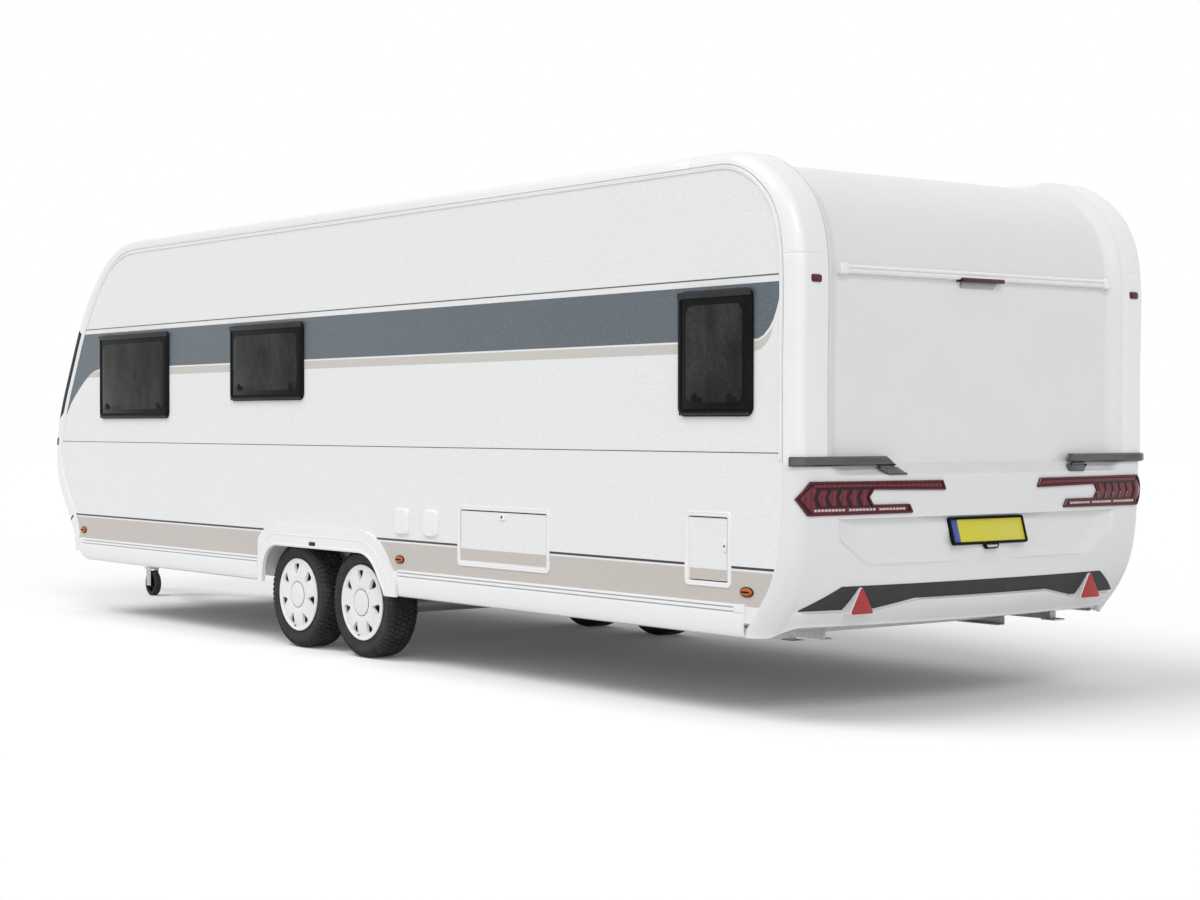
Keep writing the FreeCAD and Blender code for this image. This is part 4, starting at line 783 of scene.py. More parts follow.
def step(low: float, high: float, value: Array) -> Array:
    """A smooth step from zero at low to one at high."""
    t = np.clip((value - low) / (high - low), 0, 1)
    return t * t * (3 - 2 * t)


def meshed(name: str, shape: Shape, merge: float) -> bpy.types.Mesh:
    """A mesh from a shape, with points closer than a distance merged and its faces outward."""
    mesh = bpy.data.meshes.new(name)
    mesh.from_pydata(shape.points.tolist(), [], shape.faces)
    work = bmesh.new()
    work.from_mesh(mesh)
    bmesh.ops.remove_doubles(work, verts=work.verts, dist=merge)
    bmesh.ops.recalc_face_normals(work, faces=work.faces)
    work.to_mesh(mesh)
    work.free()
    return mesh


def shaded(name: str, mesh: bpy.types.Mesh, angle: float) -> bpy.types.Object:
    """A linked object, smooth but for the edges sharper than an angle in degrees."""
    mesh.polygons.foreach_set("use_smooth", np.ones(len(mesh.polygons), bool))
    mesh.set_sharp_from_angle(angle=math.radians(angle))
    obj = bpy.data.objects.new(name, mesh)
    bpy.context.collection.objects.link(obj)
    return obj


def filled(value: Array, width: float) -> Array:
    """How much of a width a value covers, from zero to one."""
    return np.clip(value / width, 0, 1)


def piece(name: str, shape: Shape, finish: Finish, slot: str, body: str = "body", angle: float = 38.0,
          replaces: Sequence[str] = ()) -> bpy.types.Object:
    """Make one object from a shape.

    Args:
        name: The piece's name.
        shape: Its closed surfaces.
        finish: Its finish.
        slot: Its material slot in the record; not used.
        body: The body it rides on.
        angle: Edges sharper than this stay sharp, in degrees.
        replaces: The CAD nodes that it stands for.

    Returns:
        The new piece, with faces that point outwards.
    """
    obj = shaded(name, meshed(name, shape, PIECE_WELD), angle)
    if replaces:
        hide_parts(*replaces)
    return filed(obj, finish, body, slot)


# The shell's lines


class RimLine:
    """One end of the walls' edge line, seen from the side: a smooth curve through measured points.

    The curve is a cubic spline on the chords' lengths, with its end directions given, which is
    how the CAD model draws it.
    """

    def __init__(self, points: Sequence[tuple[float, float]], first: Sequence[float],
                 last: Sequence[float]) -> None:
        """Fit the spline.

        Args:
            points: Points (x, z).
            first: The direction at the first point.
            last: The direction at the last point.
        """
        p = np.array(points, float)
        t = np.concatenate([[0], np.cumsum(np.linalg.norm(np.diff(p, axis=0), axis=1))])
        h = np.diff(t)
        ends = [self._pace(p[:3], t[:3]), self._pace(p[:-4:-1], -t[:-4:-1])]
        slopes = [np.array(first, float), np.array(last, float)]
        slopes = [s / np.linalg.norm(s) * pace for s, pace in zip(slopes, ends)]
        count = len(p)
        matrix, right = np.zeros((count, count)), np.zeros((count, 2))
        matrix[0, 0] = matrix[-1, -1] = 1
        right[0], right[-1] = slopes
        for i in range(1, count - 1):
            matrix[i, i - 1:i + 2] = h[i], 2 * (h[i - 1] + h[i]), h[i - 1]
            right[i] = 3 * (h[i] * (p[i] - p[i - 1]) / h[i - 1] + h[i - 1] * (p[i + 1] - p[i]) / h[i])
        self.points, self.knots, self.slopes = p, t, np.linalg.solve(matrix, right)

    @staticmethod
    def _pace(p: Array, t: Array) -> float:
        """The speed at the first of three points, from the parabola through them."""
        first, second = t[1] - t[0], t[2] - t[0]
        gap = second - first
        slope = (p[1] - p[0]) / first * second / gap - (p[2] - p[0]) / second * first / gap
        return float(np.linalg.norm(slope))

    def at(self, t: Array) -> tuple[Array, Array]:
        """Points, and unit directions out of the body, at parameters: cubic pieces between the knots."""
        k = np.clip(np.searchsorted(self.knots, t, side="right") - 1, 0, len(self.knots) - 2)
        h = (self.knots[k + 1] - self.knots[k])[:, None]
        u = ((t - self.knots[k]) / h[:, 0])[:, None]
        p0, p1, m0, m1 = self.points[k], self.points[k + 1], self.slopes[k] * h, self.slopes[k + 1] * h
        spot = ((2 * u**3 - 3 * u**2 + 1) * p0 + (u**3 - 2 * u**2 + u) * m0
                + (3 * u**2 - 2 * u**3) * p1 + (u**3 - u**2) * m1)
        way = ((6 * u**2 - 6 * u) * p0 + (3 * u**2 - 4 * u + 1) * m0
               + (6 * u - 6 * u**2) * p1 + (3 * u**2 - 2 * u) * m1)
        way /= np.linalg.norm(way, axis=1, keepdims=True)
        return spot, np.column_stack([-way[:, 1], way[:, 0]])

    def crossing(self, z: float) -> float:
        """The parameter where the line passes a height."""
        t = np.linspace(self.knots[0], self.knots[-1], 4000)
        spot, _ = self.at(t)
        rising = spot[-1, 1] > spot[0, 1]
        order = slice(None) if rising else slice(None, None, -1)
        return float(np.interp(z, spot[order, 1], t[order]))


REAR_RIM = RimLine([(REAR_X + x, z) for x, z in (
    (0.33, 0.425), (0.25, 0.525), (0.18, 0.62), (0.138, 0.715), (0.104, 0.93), (0.094, 1.2),
    (0.094, 1.7), (0.094, 2.13), (0.152, 2.378), (0.309, 2.535), (0.524, 2.593))], (-0.7, 1), (1, 0))
FRONT_RIM = RimLine([(FRONT_X - x, z) for x, z in (
    (1.51, 2.593), (1.21, 2.57), (1.0, 2.485), (0.76, 2.27), (0.6, 2.06), (0.43, 1.764),
    (0.274, 1.468), (0.203, 1.252), (0.21, 1.03), (0.32, 0.85), (0.425, 0.716), (0.495, 0.56),
    (0.515, 0.425))], (1, 0), (-0.1, -1))
ROOF_START, ROOF_END = REAR_X + 0.524, FRONT_X - 1.51
LEDGE_TOP, FLOOR_BOTTOM = 1.195, 0.461
EDGE_REAR, EDGE_ROOF, EDGE_FRONT = 0.094, 0.067, 0.1
SEAM_STEPS = np.array([0, 0.0015, 0.003, 0.0045])


def rim_run(line: RimLine, start: float, end: float, count: int) -> tuple[Array, Array]:
    """Points on a rim line between two parameters, with the directions that point out of the body."""
    return line.at(np.linspace(start, end, count))


def edge_height(spot: Array) -> Array:
    """How far the corner mouldings stand out at rim points: more at both ends than on the roof."""
    rear = EDGE_REAR + (EDGE_ROOF - EDGE_REAR) * step(2.13, ROOF_LINE, spot[:, 1])
    front = EDGE_ROOF + (EDGE_FRONT - EDGE_ROOF) * step(0.0, 0.5, ROOF_LINE - spot[:, 1])
    return np.where(spot[:, 0] <= ROOF_START, rear, np.where(spot[:, 0] >= ROOF_END, front, EDGE_ROOF))


def lifted(spot: Array, out: Array, y: Array, height: Array) -> Array:
    """Grid points: each rim point moved out by a height, at a side position."""
    x = spot[:, None, 0] + out[:, None, 0] * height
    z = spot[:, None, 1] + out[:, None, 1] * height
    return np.stack([x, np.broadcast_to(y, x.shape), z], axis=-1)


def at_height(rim: Array, out: Array, off: Array, z: Array, slack: float) -> Array:
    """Where each row of a surface passes a height, between the samples on either side of it.

    Args:
        rim: The rim's points, in one direction of height.
        out: Their directions out of the body.
        off: How far each row stands off the rim, a row for each height.
        z: The heights.
        slack: How far past a sample's span a place may run, as a share of the span.

    Returns:
        The lengthwise places.
    """
    ahead, level = (rim[None, :, k] + out[None, :, k] * off for k in (0, 1))
    passed = level < z[:, None] if rim[-1, 1] > rim[0, 1] else level > z[:, None]
    at = passed.sum(axis=1).clip(1, level.shape[1] - 1)
    rows = np.arange(len(z))
    z0, z1 = level[rows, at - 1], level[rows, at]
    t = np.clip((z - z0) / (z1 - z0), -slack, 1 + slack)
    return ahead[rows, at - 1] * (1 - t) + ahead[rows, at] * t


@dataclass
class CornerMouldings:
    """The thick mouldings along both walls' edges, in lengths that meet at fine seams."""

    round_width: float = 0.072
    groove: float = 0.0035
    seam: float = 0.004
    seam_depth: float = 0.003

    def power(self, spot: Array) -> Array:
        """The power of the corner's curve: an ellipse at the rear, and nearly square in front."""
        return 2 + 6 * step(ROOF_START, ROOF_END, spot[:, 0])

    def corner(self, angles: Array, power: Array) -> tuple[Array, Array]:
        """Side positions, and shares of the edge height, round the outer corner at given angles.

        The curve is a quarter of a superellipse: cosine and sine to the power of two over the power.
        """
        share = 2 / power[:, None]
        return HALF_WIDTH - self.round_width * (1 - np.cos(angles) ** share), np.sin(angles) ** share

    def _profile(self, spot: Array, dent: Array) -> tuple[Array, Array]:
        """Side positions and heights of the closed section, for each station.

        From the groove beside the wall a rounded quarter turns to a crease, a flat runs in to a
        small lip, and the back closes it. Dent draws the outside in at a seam.
        """
        edge = edge_height(spot)[:, None]
        each = np.ones((len(spot), 1))
        y, share = self.corner(np.radians(np.array([2, 7, 14, 22, 31, 40, 50, 60, 70, 79, 86])),
                               self.power(spot))
        foot = HALF_WIDTH - np.array([0.006, 0.006, 0.001, -0.0006])
        foot_height = np.array([0.0006, self.groove, self.groove + 0.001, self.groove + 0.0035])
        crest = np.array([HALF_WIDTH - self.round_width - 0.002, HALF_WIDTH - self.round_width - 0.008,
                          MOULDING_Y + 0.012, MOULDING_Y + 0.004, MOULDING_Y + 0.0005, MOULDING_Y + 0.0005])
        crest_height = np.array([-0.0012, -0.0002, 0.0, -0.001, -0.005, -0.028])
        side = np.hstack([each * foot, y, each * crest, each * (HALF_WIDTH - 0.03)])
        height = np.hstack([each * foot_height, np.maximum(edge * share, foot_height[-1] + 0.001),
                            edge + crest_height, each * 0.0006])
        outward = np.array([0.0] * 3 + [1.0] * (side.shape[1] - 5) + [0.0] * 2)
        return side - dent[:, None] * outward * 0.6, height - dent[:, None] * outward

    def _length(self, spot: Array, out: Array, ends: tuple[bool, bool]) -> Shape:
        """One length of moulding, drawn in at the ends that meet a neighbour."""
        run = np.concatenate([[0], np.cumsum(np.linalg.norm(np.diff(spot, axis=0), axis=1))])
        dent = np.zeros(len(run))
        if ends[0]:
            dent = np.maximum(dent, self.seam_depth * (1 - step(0, self.seam, run)))
        if ends[1]:
            dent = np.maximum(dent, self.seam_depth * (1 - step(0, self.seam, run[-1] - run)))
        side, height = self._profile(spot, dent)
        return tube(lifted(spot, out, side, height))

    def _stations(self, line: RimLine, start: float, end: float, count: int) -> tuple[Array, Array]:
        """Rim points with three close ones at each end, for crisp seams."""
        sign = 1 if end > start else -1
        close = sign * SEAM_STEPS
        t = np.concatenate([start + close, np.linspace(start, end, count)[1:-1], (end - close)[::-1]])
        return line.at(t)

    @staticmethod
    def _level(x: Array) -> tuple[Array, Array]:
        """Points along the level roof line, with their outward directions."""
        return np.column_stack([x, np.full(len(x), ROOF_LINE)]), np.tile([0.0, 1.0], (len(x), 1))

    def build(self) -> None:
        """Five lengths each side: rear post, rear corner, roof, front corner and front post."""
        seam_rear = REAR_RIM.crossing(2.15)
        front_foot = FRONT_RIM.crossing(FLOOR_BOTTOM)
        seam_front = FRONT_RIM.crossing(ROOF_LINE - 0.06)
        corner_end = ROOF_START + 0.21
        roof_x = np.concatenate([corner_end + SEAM_STEPS[:3],
                                 np.linspace(corner_end + SEAM_STEPS[3], ROOF_END - SEAM_STEPS[3], 24),
                                 ROOF_END - SEAM_STEPS[2::-1]])
        roof = self._level(roof_x)
        spot, out = self._stations(REAR_RIM, seam_rear, REAR_RIM.knots[-1], 60)
        on = self._level(np.concatenate([np.linspace(ROOF_START, corner_end - SEAM_STEPS[3], 6)[1:],
                                         corner_end - SEAM_STEPS[2::-1]]))
        corner = (np.vstack([spot, on[0]]), np.vstack([out, on[1]]))
        lengths = [self._length(*self._stations(REAR_RIM, REAR_RIM.crossing(LEDGE_TOP), seam_rear, 40),
                                (False, True)), self._length(*corner, (True, True)),
                   self._length(*roof, (True, True)),
                   self._length(*self._stations(FRONT_RIM, 0.0, seam_front, 24), (True, True)),
                   self._length(*self._stations(FRONT_RIM, seam_front, front_foot, 110), (True, False)),]
        left = joined(lengths)
        for word, shape in (("left", left), ("right", left.mirrored())):
            piece("corner_moulding_" + word, shape, WHITE_MOULDING, "white_moulding",
                  replaces=["edge_moulding_" + word])


@dataclass
class RearPanel:
    """The rear between the mouldings: a flat middle set in behind two bevels, up and over the top."""

    sink: float = 0.045
    bevel: float = 0.092
    thick: float = 0.03

    def build(self) -> None:
        """A grid of rim points by side positions; the bevels' ends are rounded over 12 mm."""
        spot, out = rim_run(REAR_RIM, REAR_RIM.crossing(LEDGE_TOP), REAR_RIM.knots[-1], 120)
        half = np.array([0, 0.3, 0.6, 0.85, 0.94, 0.95, 0.954, 0.958, 0.962, 0.966, 0.972, 1.0, 1.03, 1.04,
                         1.0445, 1.0495])
        y = np.concatenate([-half[:0:-1], half])
        depth = (MOULDING_Y - np.abs(y)) / self.bevel
        eased = np.interp(depth, [0, 0.02, 0.09, 0.17, 0.83, 0.91, 0.98, 1.05],
                          [0, 0.004, 0.04, 0.11, 0.89, 0.96, 0.996, 1])
        height = edge_height(spot)[:, None] - self.sink * eased[None]
        outer = lifted(spot, out, y, height)
        inner = lifted(spot, out, y, height - self.thick)
        piece("rear_upper_panel", slab(outer, inner), SHADED_REAR_WHITE, "white_moulding", replaces=["rear_panel"])


class BumperForm:
    """The lower rear's surface, from side to side and from its lip up past the ledge.

    Across, a flat bow runs into an elliptical corner on each side. Upward, each column follows
    the walls' rear line. "Across" runs over the bow as the side position itself, and then on
    round the corner as its arc length.
    """

    corner: float = 0.104
    bow: float = 0.055
    foot_bow: float = 0.048

    def __init__(self) -> None:
        """Tabulate the surface by columns across and rim heights."""
        self.flat = HALF_WIDTH - self.corner
        turn = np.radians(np.linspace(90, 0, 200))
        y = self.corner * np.cos(turn)
        rise = EDGE_REAR * np.sin(turn)
        self.arc = np.concatenate([[0], np.cumsum(np.hypot(np.diff(y), np.diff(rise)))])
        self.arc_y, self.arc_rise = y + self.flat, rise / EDGE_REAR
        self.reach = self.flat + self.arc[-1]
        low, high = REAR_RIM.crossing(0.426), REAR_RIM.crossing(1.45)
        self.rim, self.out = rim_run(REAR_RIM, low, high, 260)

    def base(self, across: Array, z: Array, off: Array) -> Array:
        """Points of the plain surface.

        Args:
            across: Positions from side to side.
            z: Heights.
            off: Heights off the surface, along the direction out of the body.

        Returns:
            Points, one row for each input.
        """
        across, z, off = (np.atleast_1d(np.asarray(v, float)) for v in (across, z, off))
        far = np.abs(across)
        past = np.clip(far - self.flat, 0, None)
        y = np.where(far <= self.flat, far, np.interp(past, self.arc, self.arc_y))
        rise = np.where(far <= self.flat, 1.0, np.interp(past, self.arc, self.arc_rise))
        turn_y = np.where(far <= self.flat, 0.0, (y - self.flat) / self.corner)
        up = self.rim[:, 1]
        bow = self.bow * (1 - step(1.2, 1.26, up)) + self.foot_bow * step(0, 0.16, 0.76 - up)
        share = np.clip(1 - (far / self.flat) ** 2, 0, None)
        height = EDGE_REAR * rise[:, None] + bow[None] * share[:, None]
        height = height + off[:, None] * np.where(far <= self.flat, 1.0, rise)[:, None]
        x = at_height(self.rim, self.out, height, z, 0.5)
        return np.column_stack([x, np.sign(across) * (y + off * turn_y), z])

    def bent(self, shape: Shape, pitch: float = 0.05) -> Shape:
        """A flat shape of points (across, height, off) bent onto the surface.

        It is cut by upright and level planes first, closer together round the corners and over
        the foot, so that it can bend.
        """
        mesh = meshed("bent", shape, TOOL_WELD)
        work = bmesh.new()
        work.from_mesh(mesh)
        low, high = shape.points.min(axis=0), shape.points.max(axis=0)
        corner = self.flat + np.arange(0, 0.2, 0.008)
        upright = np.concatenate([-corner, np.arange(-self.flat, self.flat, pitch), corner])
        level = np.concatenate([np.arange(0.44, 0.8, 0.015), np.arange(0.8, 1.3, 0.04)])
        for axis, places in ((0, upright), (1, level)):
            normal = (1 - axis, axis, 0)
            for place in places:
                if low[axis] + 1e-4 < place < high[axis] - 1e-4:
                    bmesh.ops.bisect_plane(work, geom=work.verts[:] + work.edges[:] + work.faces[:],
                                           plane_co=tuple(place * n for n in normal), plane_no=normal)
        work.verts.index_update()
        points = np.array([v.co for v in work.verts])
        faces = [[v.index for v in f.verts] for f in work.faces]
        work.free()
        bpy.data.meshes.remove(mesh)
        return Shape(self.base(points[:, 0], points[:, 1], points[:, 2]), faces)


FORM = BumperForm()


@dataclass
class Bumper:
    """The lower rear panel: a ledge above, a tilted recess for the plate and a lip under the insert."""

    ledge_z: float = 1.147
    recess_top: float = 0.948
    pan_top_x: float = 0.0034
    pan_tilt: float = 0.279
    rim_depth: float = 0.04
    lip_step: float = 0.02
    triangle_y: float = 0.818
    triangle_top: float = 0.632
    pan_foot: float = 0.722

    def _dent(self, across: Array, z: Array, x: Array) -> Array:
        """How far the surface goes in from the plain form, from the ledge, the recess and the lip.

        The ledge slopes in to the panel above. The recess is a plane that leans in towards its
        top, with sloping ends. Below the insert the surface steps out.
        """
        far = np.abs(across)
        up = np.clip((z - self.ledge_z) / (LEDGE_TOP - self.ledge_z), 0, 1)
        bow = FORM.bow * np.clip(1 - (far / FORM.flat) ** 2, 0, None)
        ledge = up * (bow + 0.043 * (1 - step(0.93, 1.045, far)))
        pan_x = REAR_X + self.pan_top_x - (self.recess_top - z) * self.pan_tilt
        side = np.interp(z, [0.7, 0.735, 0.85, 0.95], [0.74, 0.8, 0.975, 0.985])
        rise, room = z - self.pan_foot, side - far
        inside = filled(room, 0.012) * 0.3 + filled(room, 0.13) * 0.7
        floor = filled(rise, 0.008) * 0.6 + filled(rise, 0.05) * 0.4
        hollow = self.rim_depth * step(0.0, 0.5, far) * inside * floor
        pan = np.clip(pan_x - x, 0, None) * filled(rise, 0.012) * filled(room, 0.018)
        recess = np.where(z <= self.recess_top, np.maximum(pan, hollow), 0.0)
        edge = np.interp(far, [0.45, 0.49, 0.68, 0.72, 1.2], [0.562, 0.556, 0.522, 0.518, 0.518])
        out = self.lip_step * filled(edge - z, 0.008) * (1 - step(1.06, 1.16, far))
        return ledge + recess - out

    def build(self) -> None:
        """A grid of columns across by rows of height; the lip and the ledge turn in behind it."""
        flat = np.linspace(-FORM.flat, FORM.flat, 260)
        turn = FORM.flat + np.linspace(0.006, FORM.arc[-1], 22)
        across = np.concatenate([-turn[::-1], flat, turn])
        heights = np.concatenate([[0.452], np.linspace(0.46, 0.5, 5), np.linspace(0.507, 0.575, 24),
                                  np.linspace(0.585, 0.71, 11), np.linspace(0.716, 0.745, 9),
                                  np.linspace(0.76, 0.94, 20), [0.947, 0.9485], np.linspace(0.96, 1.13, 12),
                                  [1.144, 1.147, 1.15, 1.16, 1.18, 1.192, 1.195]])
        a, z = np.meshgrid(across, heights)
        z = z - 0.047 * step(1.07, 1.2, np.abs(a)) * np.clip((0.54 - z) / 0.088, 0, 1)
        spots = FORM.base(a.ravel(), z.ravel(), np.zeros(a.size))
        inward = self._dent(a.ravel(), z.ravel(), spots[:, 0])
        spots[:, 0] += inward
        outer = spots.reshape(*a.shape, 3)
        foot = np.repeat(outer[:1], 4, axis=0)
        ease = 1 - step(FORM.flat, FORM.reach, np.abs(across))
        for k, (drop, back) in enumerate(((0.0118, 0.028), (0.0118, 0.012), (0.008, 0.004), (0.003, 0.0006))):
            foot[k, :, 2] -= drop
            foot[k, :, 0] += back * ease
        outer = np.concatenate([foot, outer])
        inner = outer.copy()
        inner[..., 0] += 0.022
        inner[..., 1] *= 1 - 0.02 / HALF_WIDTH * step(1.0, 1.2, np.abs(inner[..., 1]))
        inner[:4, :, 2] = outer[4, :, 2] + 0.002
        piece("rear_bumper_panel", slab(outer, inner), SHADED_REAR_WHITE, "white_moulding", replaces=["rear_bumper"],
              angle=30)
        self._insert()
        self._triangles()

    def _insert(self) -> None:
        """The dark strip: a flat plate with a kinked lower edge, bent onto the form."""
        half = [(1.132, 0.522, 0.004), (0.924, 0.634, 0.02), (-0.924, 0.634, 0.02), (-1.132, 0.522, 0.004),
                (-0.7, 0.5225, 0.05), (-0.47, 0.5635, 0.05), (0.47, 0.5635, 0.05), (0.7, 0.5225, 0.05)]
        outline = softened(half)
        strip = FORM.bent(plate(outline, -0.012, 0.003, 0.0015, on_flat), 0.03)
        piece("bumper_insert_strip", strip, DARK_TRIM, "dark_trim", replaces=["bumper_insert"], angle=30)

    def _triangles(self) -> None:
        """Two upright warning triangles, each on a white wedge whose back follows the form."""
        reds, brackets = [], []
        for side in (LEFT, RIGHT):
            corners = [(side * y, z, 0.008) for y, z in (
                (self.triangle_y, self.triangle_top), (0.892, 0.505), (0.744, 0.505))]
            outline = softened(corners)
            face = float(FORM.base(side * self.triangle_y, self.triangle_top, 0.012)[0, 0])
            upright = back_lay(face)
            reds.append(plate(outline, -0.001, 0.006, 0.002, upright))
            wide = inset(outline, -0.003)
            back = FORM.base(wide[:, 0], wide[:, 1], np.full(len(wide), -0.006))
            brackets.append(tube(np.stack([back, upright(wide, -0.002), upright(outline, 0.0)])))
        piece("warning_triangles", joined(reds), BRIGHT_RED, "red_lens", replaces=["rear_reflectors"])
        piece("triangle_brackets", joined(brackets), WHITE_MOULDING, "white_moulding")


@dataclass
class TailLamps:
    """Two-armed lamps that point out round the corners, with ribs and light guides behind the lens."""

    tip: float = 1.236
    ribs: int = 24
    chevrons: int = 5
    clear_marks: int = 27
    clear_gaps: tuple[int, int] = (8, 17)

    def _outline(self) -> list[Triple]:
        """The left lamp's outline: (across, height, corner radius), from its outer tip inwards."""
        return [(self.tip, 1.043, 0.004), (1.166, 1.122, 0.012), (0.35, 1.119, 0.006), (0.327, 1.072, 0.006),
                (0.79, 1.08, 0.008), (0.815, 1.046, 0.006), (0.79, 1.011, 0.008), (0.563, 1.011, 0.005),
                (0.537, 0.968, 0.006), (1.175, 0.965, 0.012)]

    def build(self) -> None:
        """The housing, the framed edge, the ribs of the upper arm, the chevrons and the clear row."""
        outline = softened(self._outline())
        housing = plate(outline, -0.02, 0.006, 0.003, on_flat)
        rim = frame_ring(outline, [(0.0, -0.01), (0.0, 0.01), (0.0025, 0.0125), (0.009, 0.0125),
                                   (0.011, 0.01), (0.011, 0.0)], on_flat)
        upper = softened([(1.15, 1.108, 0.01), (0.366, 1.105, 0.003), (0.35, 1.086, 0.003),
                          (0.8, 1.094, 0.01), (1.15, 1.094, 0.01)])
        guide = plate(upper, 0.0, 0.0105, 0.002, on_flat)
        for k in range(self.ribs):
            y, low = 0.375 + 0.017 * k, 1.0895 + 0.0004 * k * 0.3
            rib = softened([(y, low, 0), (y + 0.011, low, 0), (y + 0.015, 1.103, 0), (y + 0.004, 1.103, 0)])
            guide += plate(rib, 0.008, 0.012, 0.001, on_flat, 1)
        arrows = []
        for k in range(self.chevrons):
            y = 1.105 - 0.062 * k
            shape = [(y, 1.082, 0), (y - 0.04, 1.082, 0), (y - 0.022, 1.046, 0), (y - 0.04, 1.008, 0),
                     (y, 1.008, 0), (y + 0.018, 1.046, 0)]
            arrows.append(plate(softened(shape), 0.0, 0.01, 0.002, on_flat, 1))
        point = plate(softened([(1.212, 1.043, 0.004), (1.158, 1.1, 0.004), (1.132, 1.086, 0.004),
                                (1.15, 1.045, 0.004), (1.132, 1.002, 0.004), (1.16, 0.986, 0.004)]),
                      0.0, 0.01, 0.002, on_flat)
        row = []
        for k in sorted(set(range(self.clear_marks)) - set(self.clear_gaps)):
            y = 0.592 + 0.0205 * k
            row.append(plate(softened([(y, 0.984, 0.002), (y + 0.0165, 0.984, 0.002),
                                       (y + 0.0165, 0.995, 0.002), (y, 0.995, 0.002)], 3), 0.0, 0.009, 0.0015,
                             on_flat, 1))
        bar = plate(softened([(1.15, 0.976, 0.004), (0.578, 0.978, 0.004), (0.582, 1.001, 0.004),
                              (1.15, 1.001, 0.004)]), 0.0, 0.0068, 0.001, on_flat)
        looks = (("housings", housing, DARK_RED), ("edges", rim, RED_LENS), ("light_guides", guide, RED_CORE),
                 ("chevrons", joined(arrows + [point]), RED_CORE), ("bars", bar, RED_CORE),
                 ("clear_rows", joined(row), CLEAR_LENS))
        for name, flat, finish in looks:
            left = FORM.bent(flat)
            stands_for = ["tail_lamps"] if name == "housings" else []
            piece("lamp_" + name, left + left.mirrored(), finish, "red_lens", replaces=stands_for)


@dataclass
class GrabHandles:
    """Dark bars over the lamps, from the corner inwards, each with a slanting leg at its inner end."""

    off: float = 0.006
    thick: float = 0.024
    sunk: float = 0.05

    def build(self) -> None:
        """A bevelled bar and leg on a slimmer core, with feet behind, bent onto the form."""
        bar = softened([(1.258, 1.234, 0.005), (1.258, 1.19, 0.005), (0.623, 1.19, 0.002),
                        (0.662, 1.234, 0.008)])
        leg = softened([(0.748, 1.184, 0.003), (0.694, 1.147, 0.003), (0.581, 1.147, 0.003),
                        (0.616, 1.184, 0.002)])
        core = softened([(0.744, 1.2, 0), (0.7, 1.152, 0), (0.6, 1.152, 0), (0.65, 1.2, 0)])
        low, high, soft = self.off, self.off + self.thick, 0.007
        parts = [tube(np.stack([on_flat(line, low), on_flat(line, high - soft),
                                on_flat(inset(line, soft), high)])) for line in (bar, leg)]
        parts.append(plate(core, low + 0.002, high - 0.01, 0.001, on_flat, 1))
        for y0, y1, z0, z1 in ((1.14, 1.19, 1.196, 1.224), (0.615, 0.675, 1.155, 1.176)):
            foot = softened([(y1, z0, 0.006), (y1, z1, 0.006), (y0, z1, 0.006), (y0, z0, 0.006)])
            parts.append(plate(foot, -0.01, low + 0.004, 0.001, on_flat, 1))
        flat = joined(parts)
        far, up = flat.points[:, 0], flat.points[:, 1]
        flat.points[:, 2] -= self.sunk * filled(1.19 - far, 0.55) * (0.3 + 0.7 * step(1.15, 1.19, up))
        left = FORM.bent(flat)
        piece("grab_handle_bars", left + left.mirrored(), HANDLE_CHROME, "grey_bar",
              replaces=["grab_handles"], angle=28)


def carved(solid: Shape, tool: Shape, operation: str = "DIFFERENCE") -> Shape:
    """One shape with another taken out, or what both share, by an exact boolean."""
    objects = []
    for name, shape in (("solid", solid), ("tool", tool)):
        obj = bpy.data.objects.new(name, meshed(name, shape, TOOL_WELD))
        bpy.context.collection.objects.link(obj)
        objects.append(obj)
    cut = objects[0].modifiers.new("cut", "BOOLEAN")
    cut.operation, cut.solver, cut.object = operation, "EXACT", objects[1]
    bpy.context.view_layer.update()
    graph = bpy.context.evaluated_depsgraph_get()
    done = bpy.data.meshes.new_from_object(objects[0].evaluated_get(graph))
    points = np.array([v.co for v in done.vertices])
    faces = [list(p.vertices) for p in done.polygons]
    for obj in objects:
        mesh = obj.data
        bpy.data.objects.remove(obj)
        bpy.data.meshes.remove(mesh)
    bpy.data.meshes.remove(done)
    return Shape(points, faces)


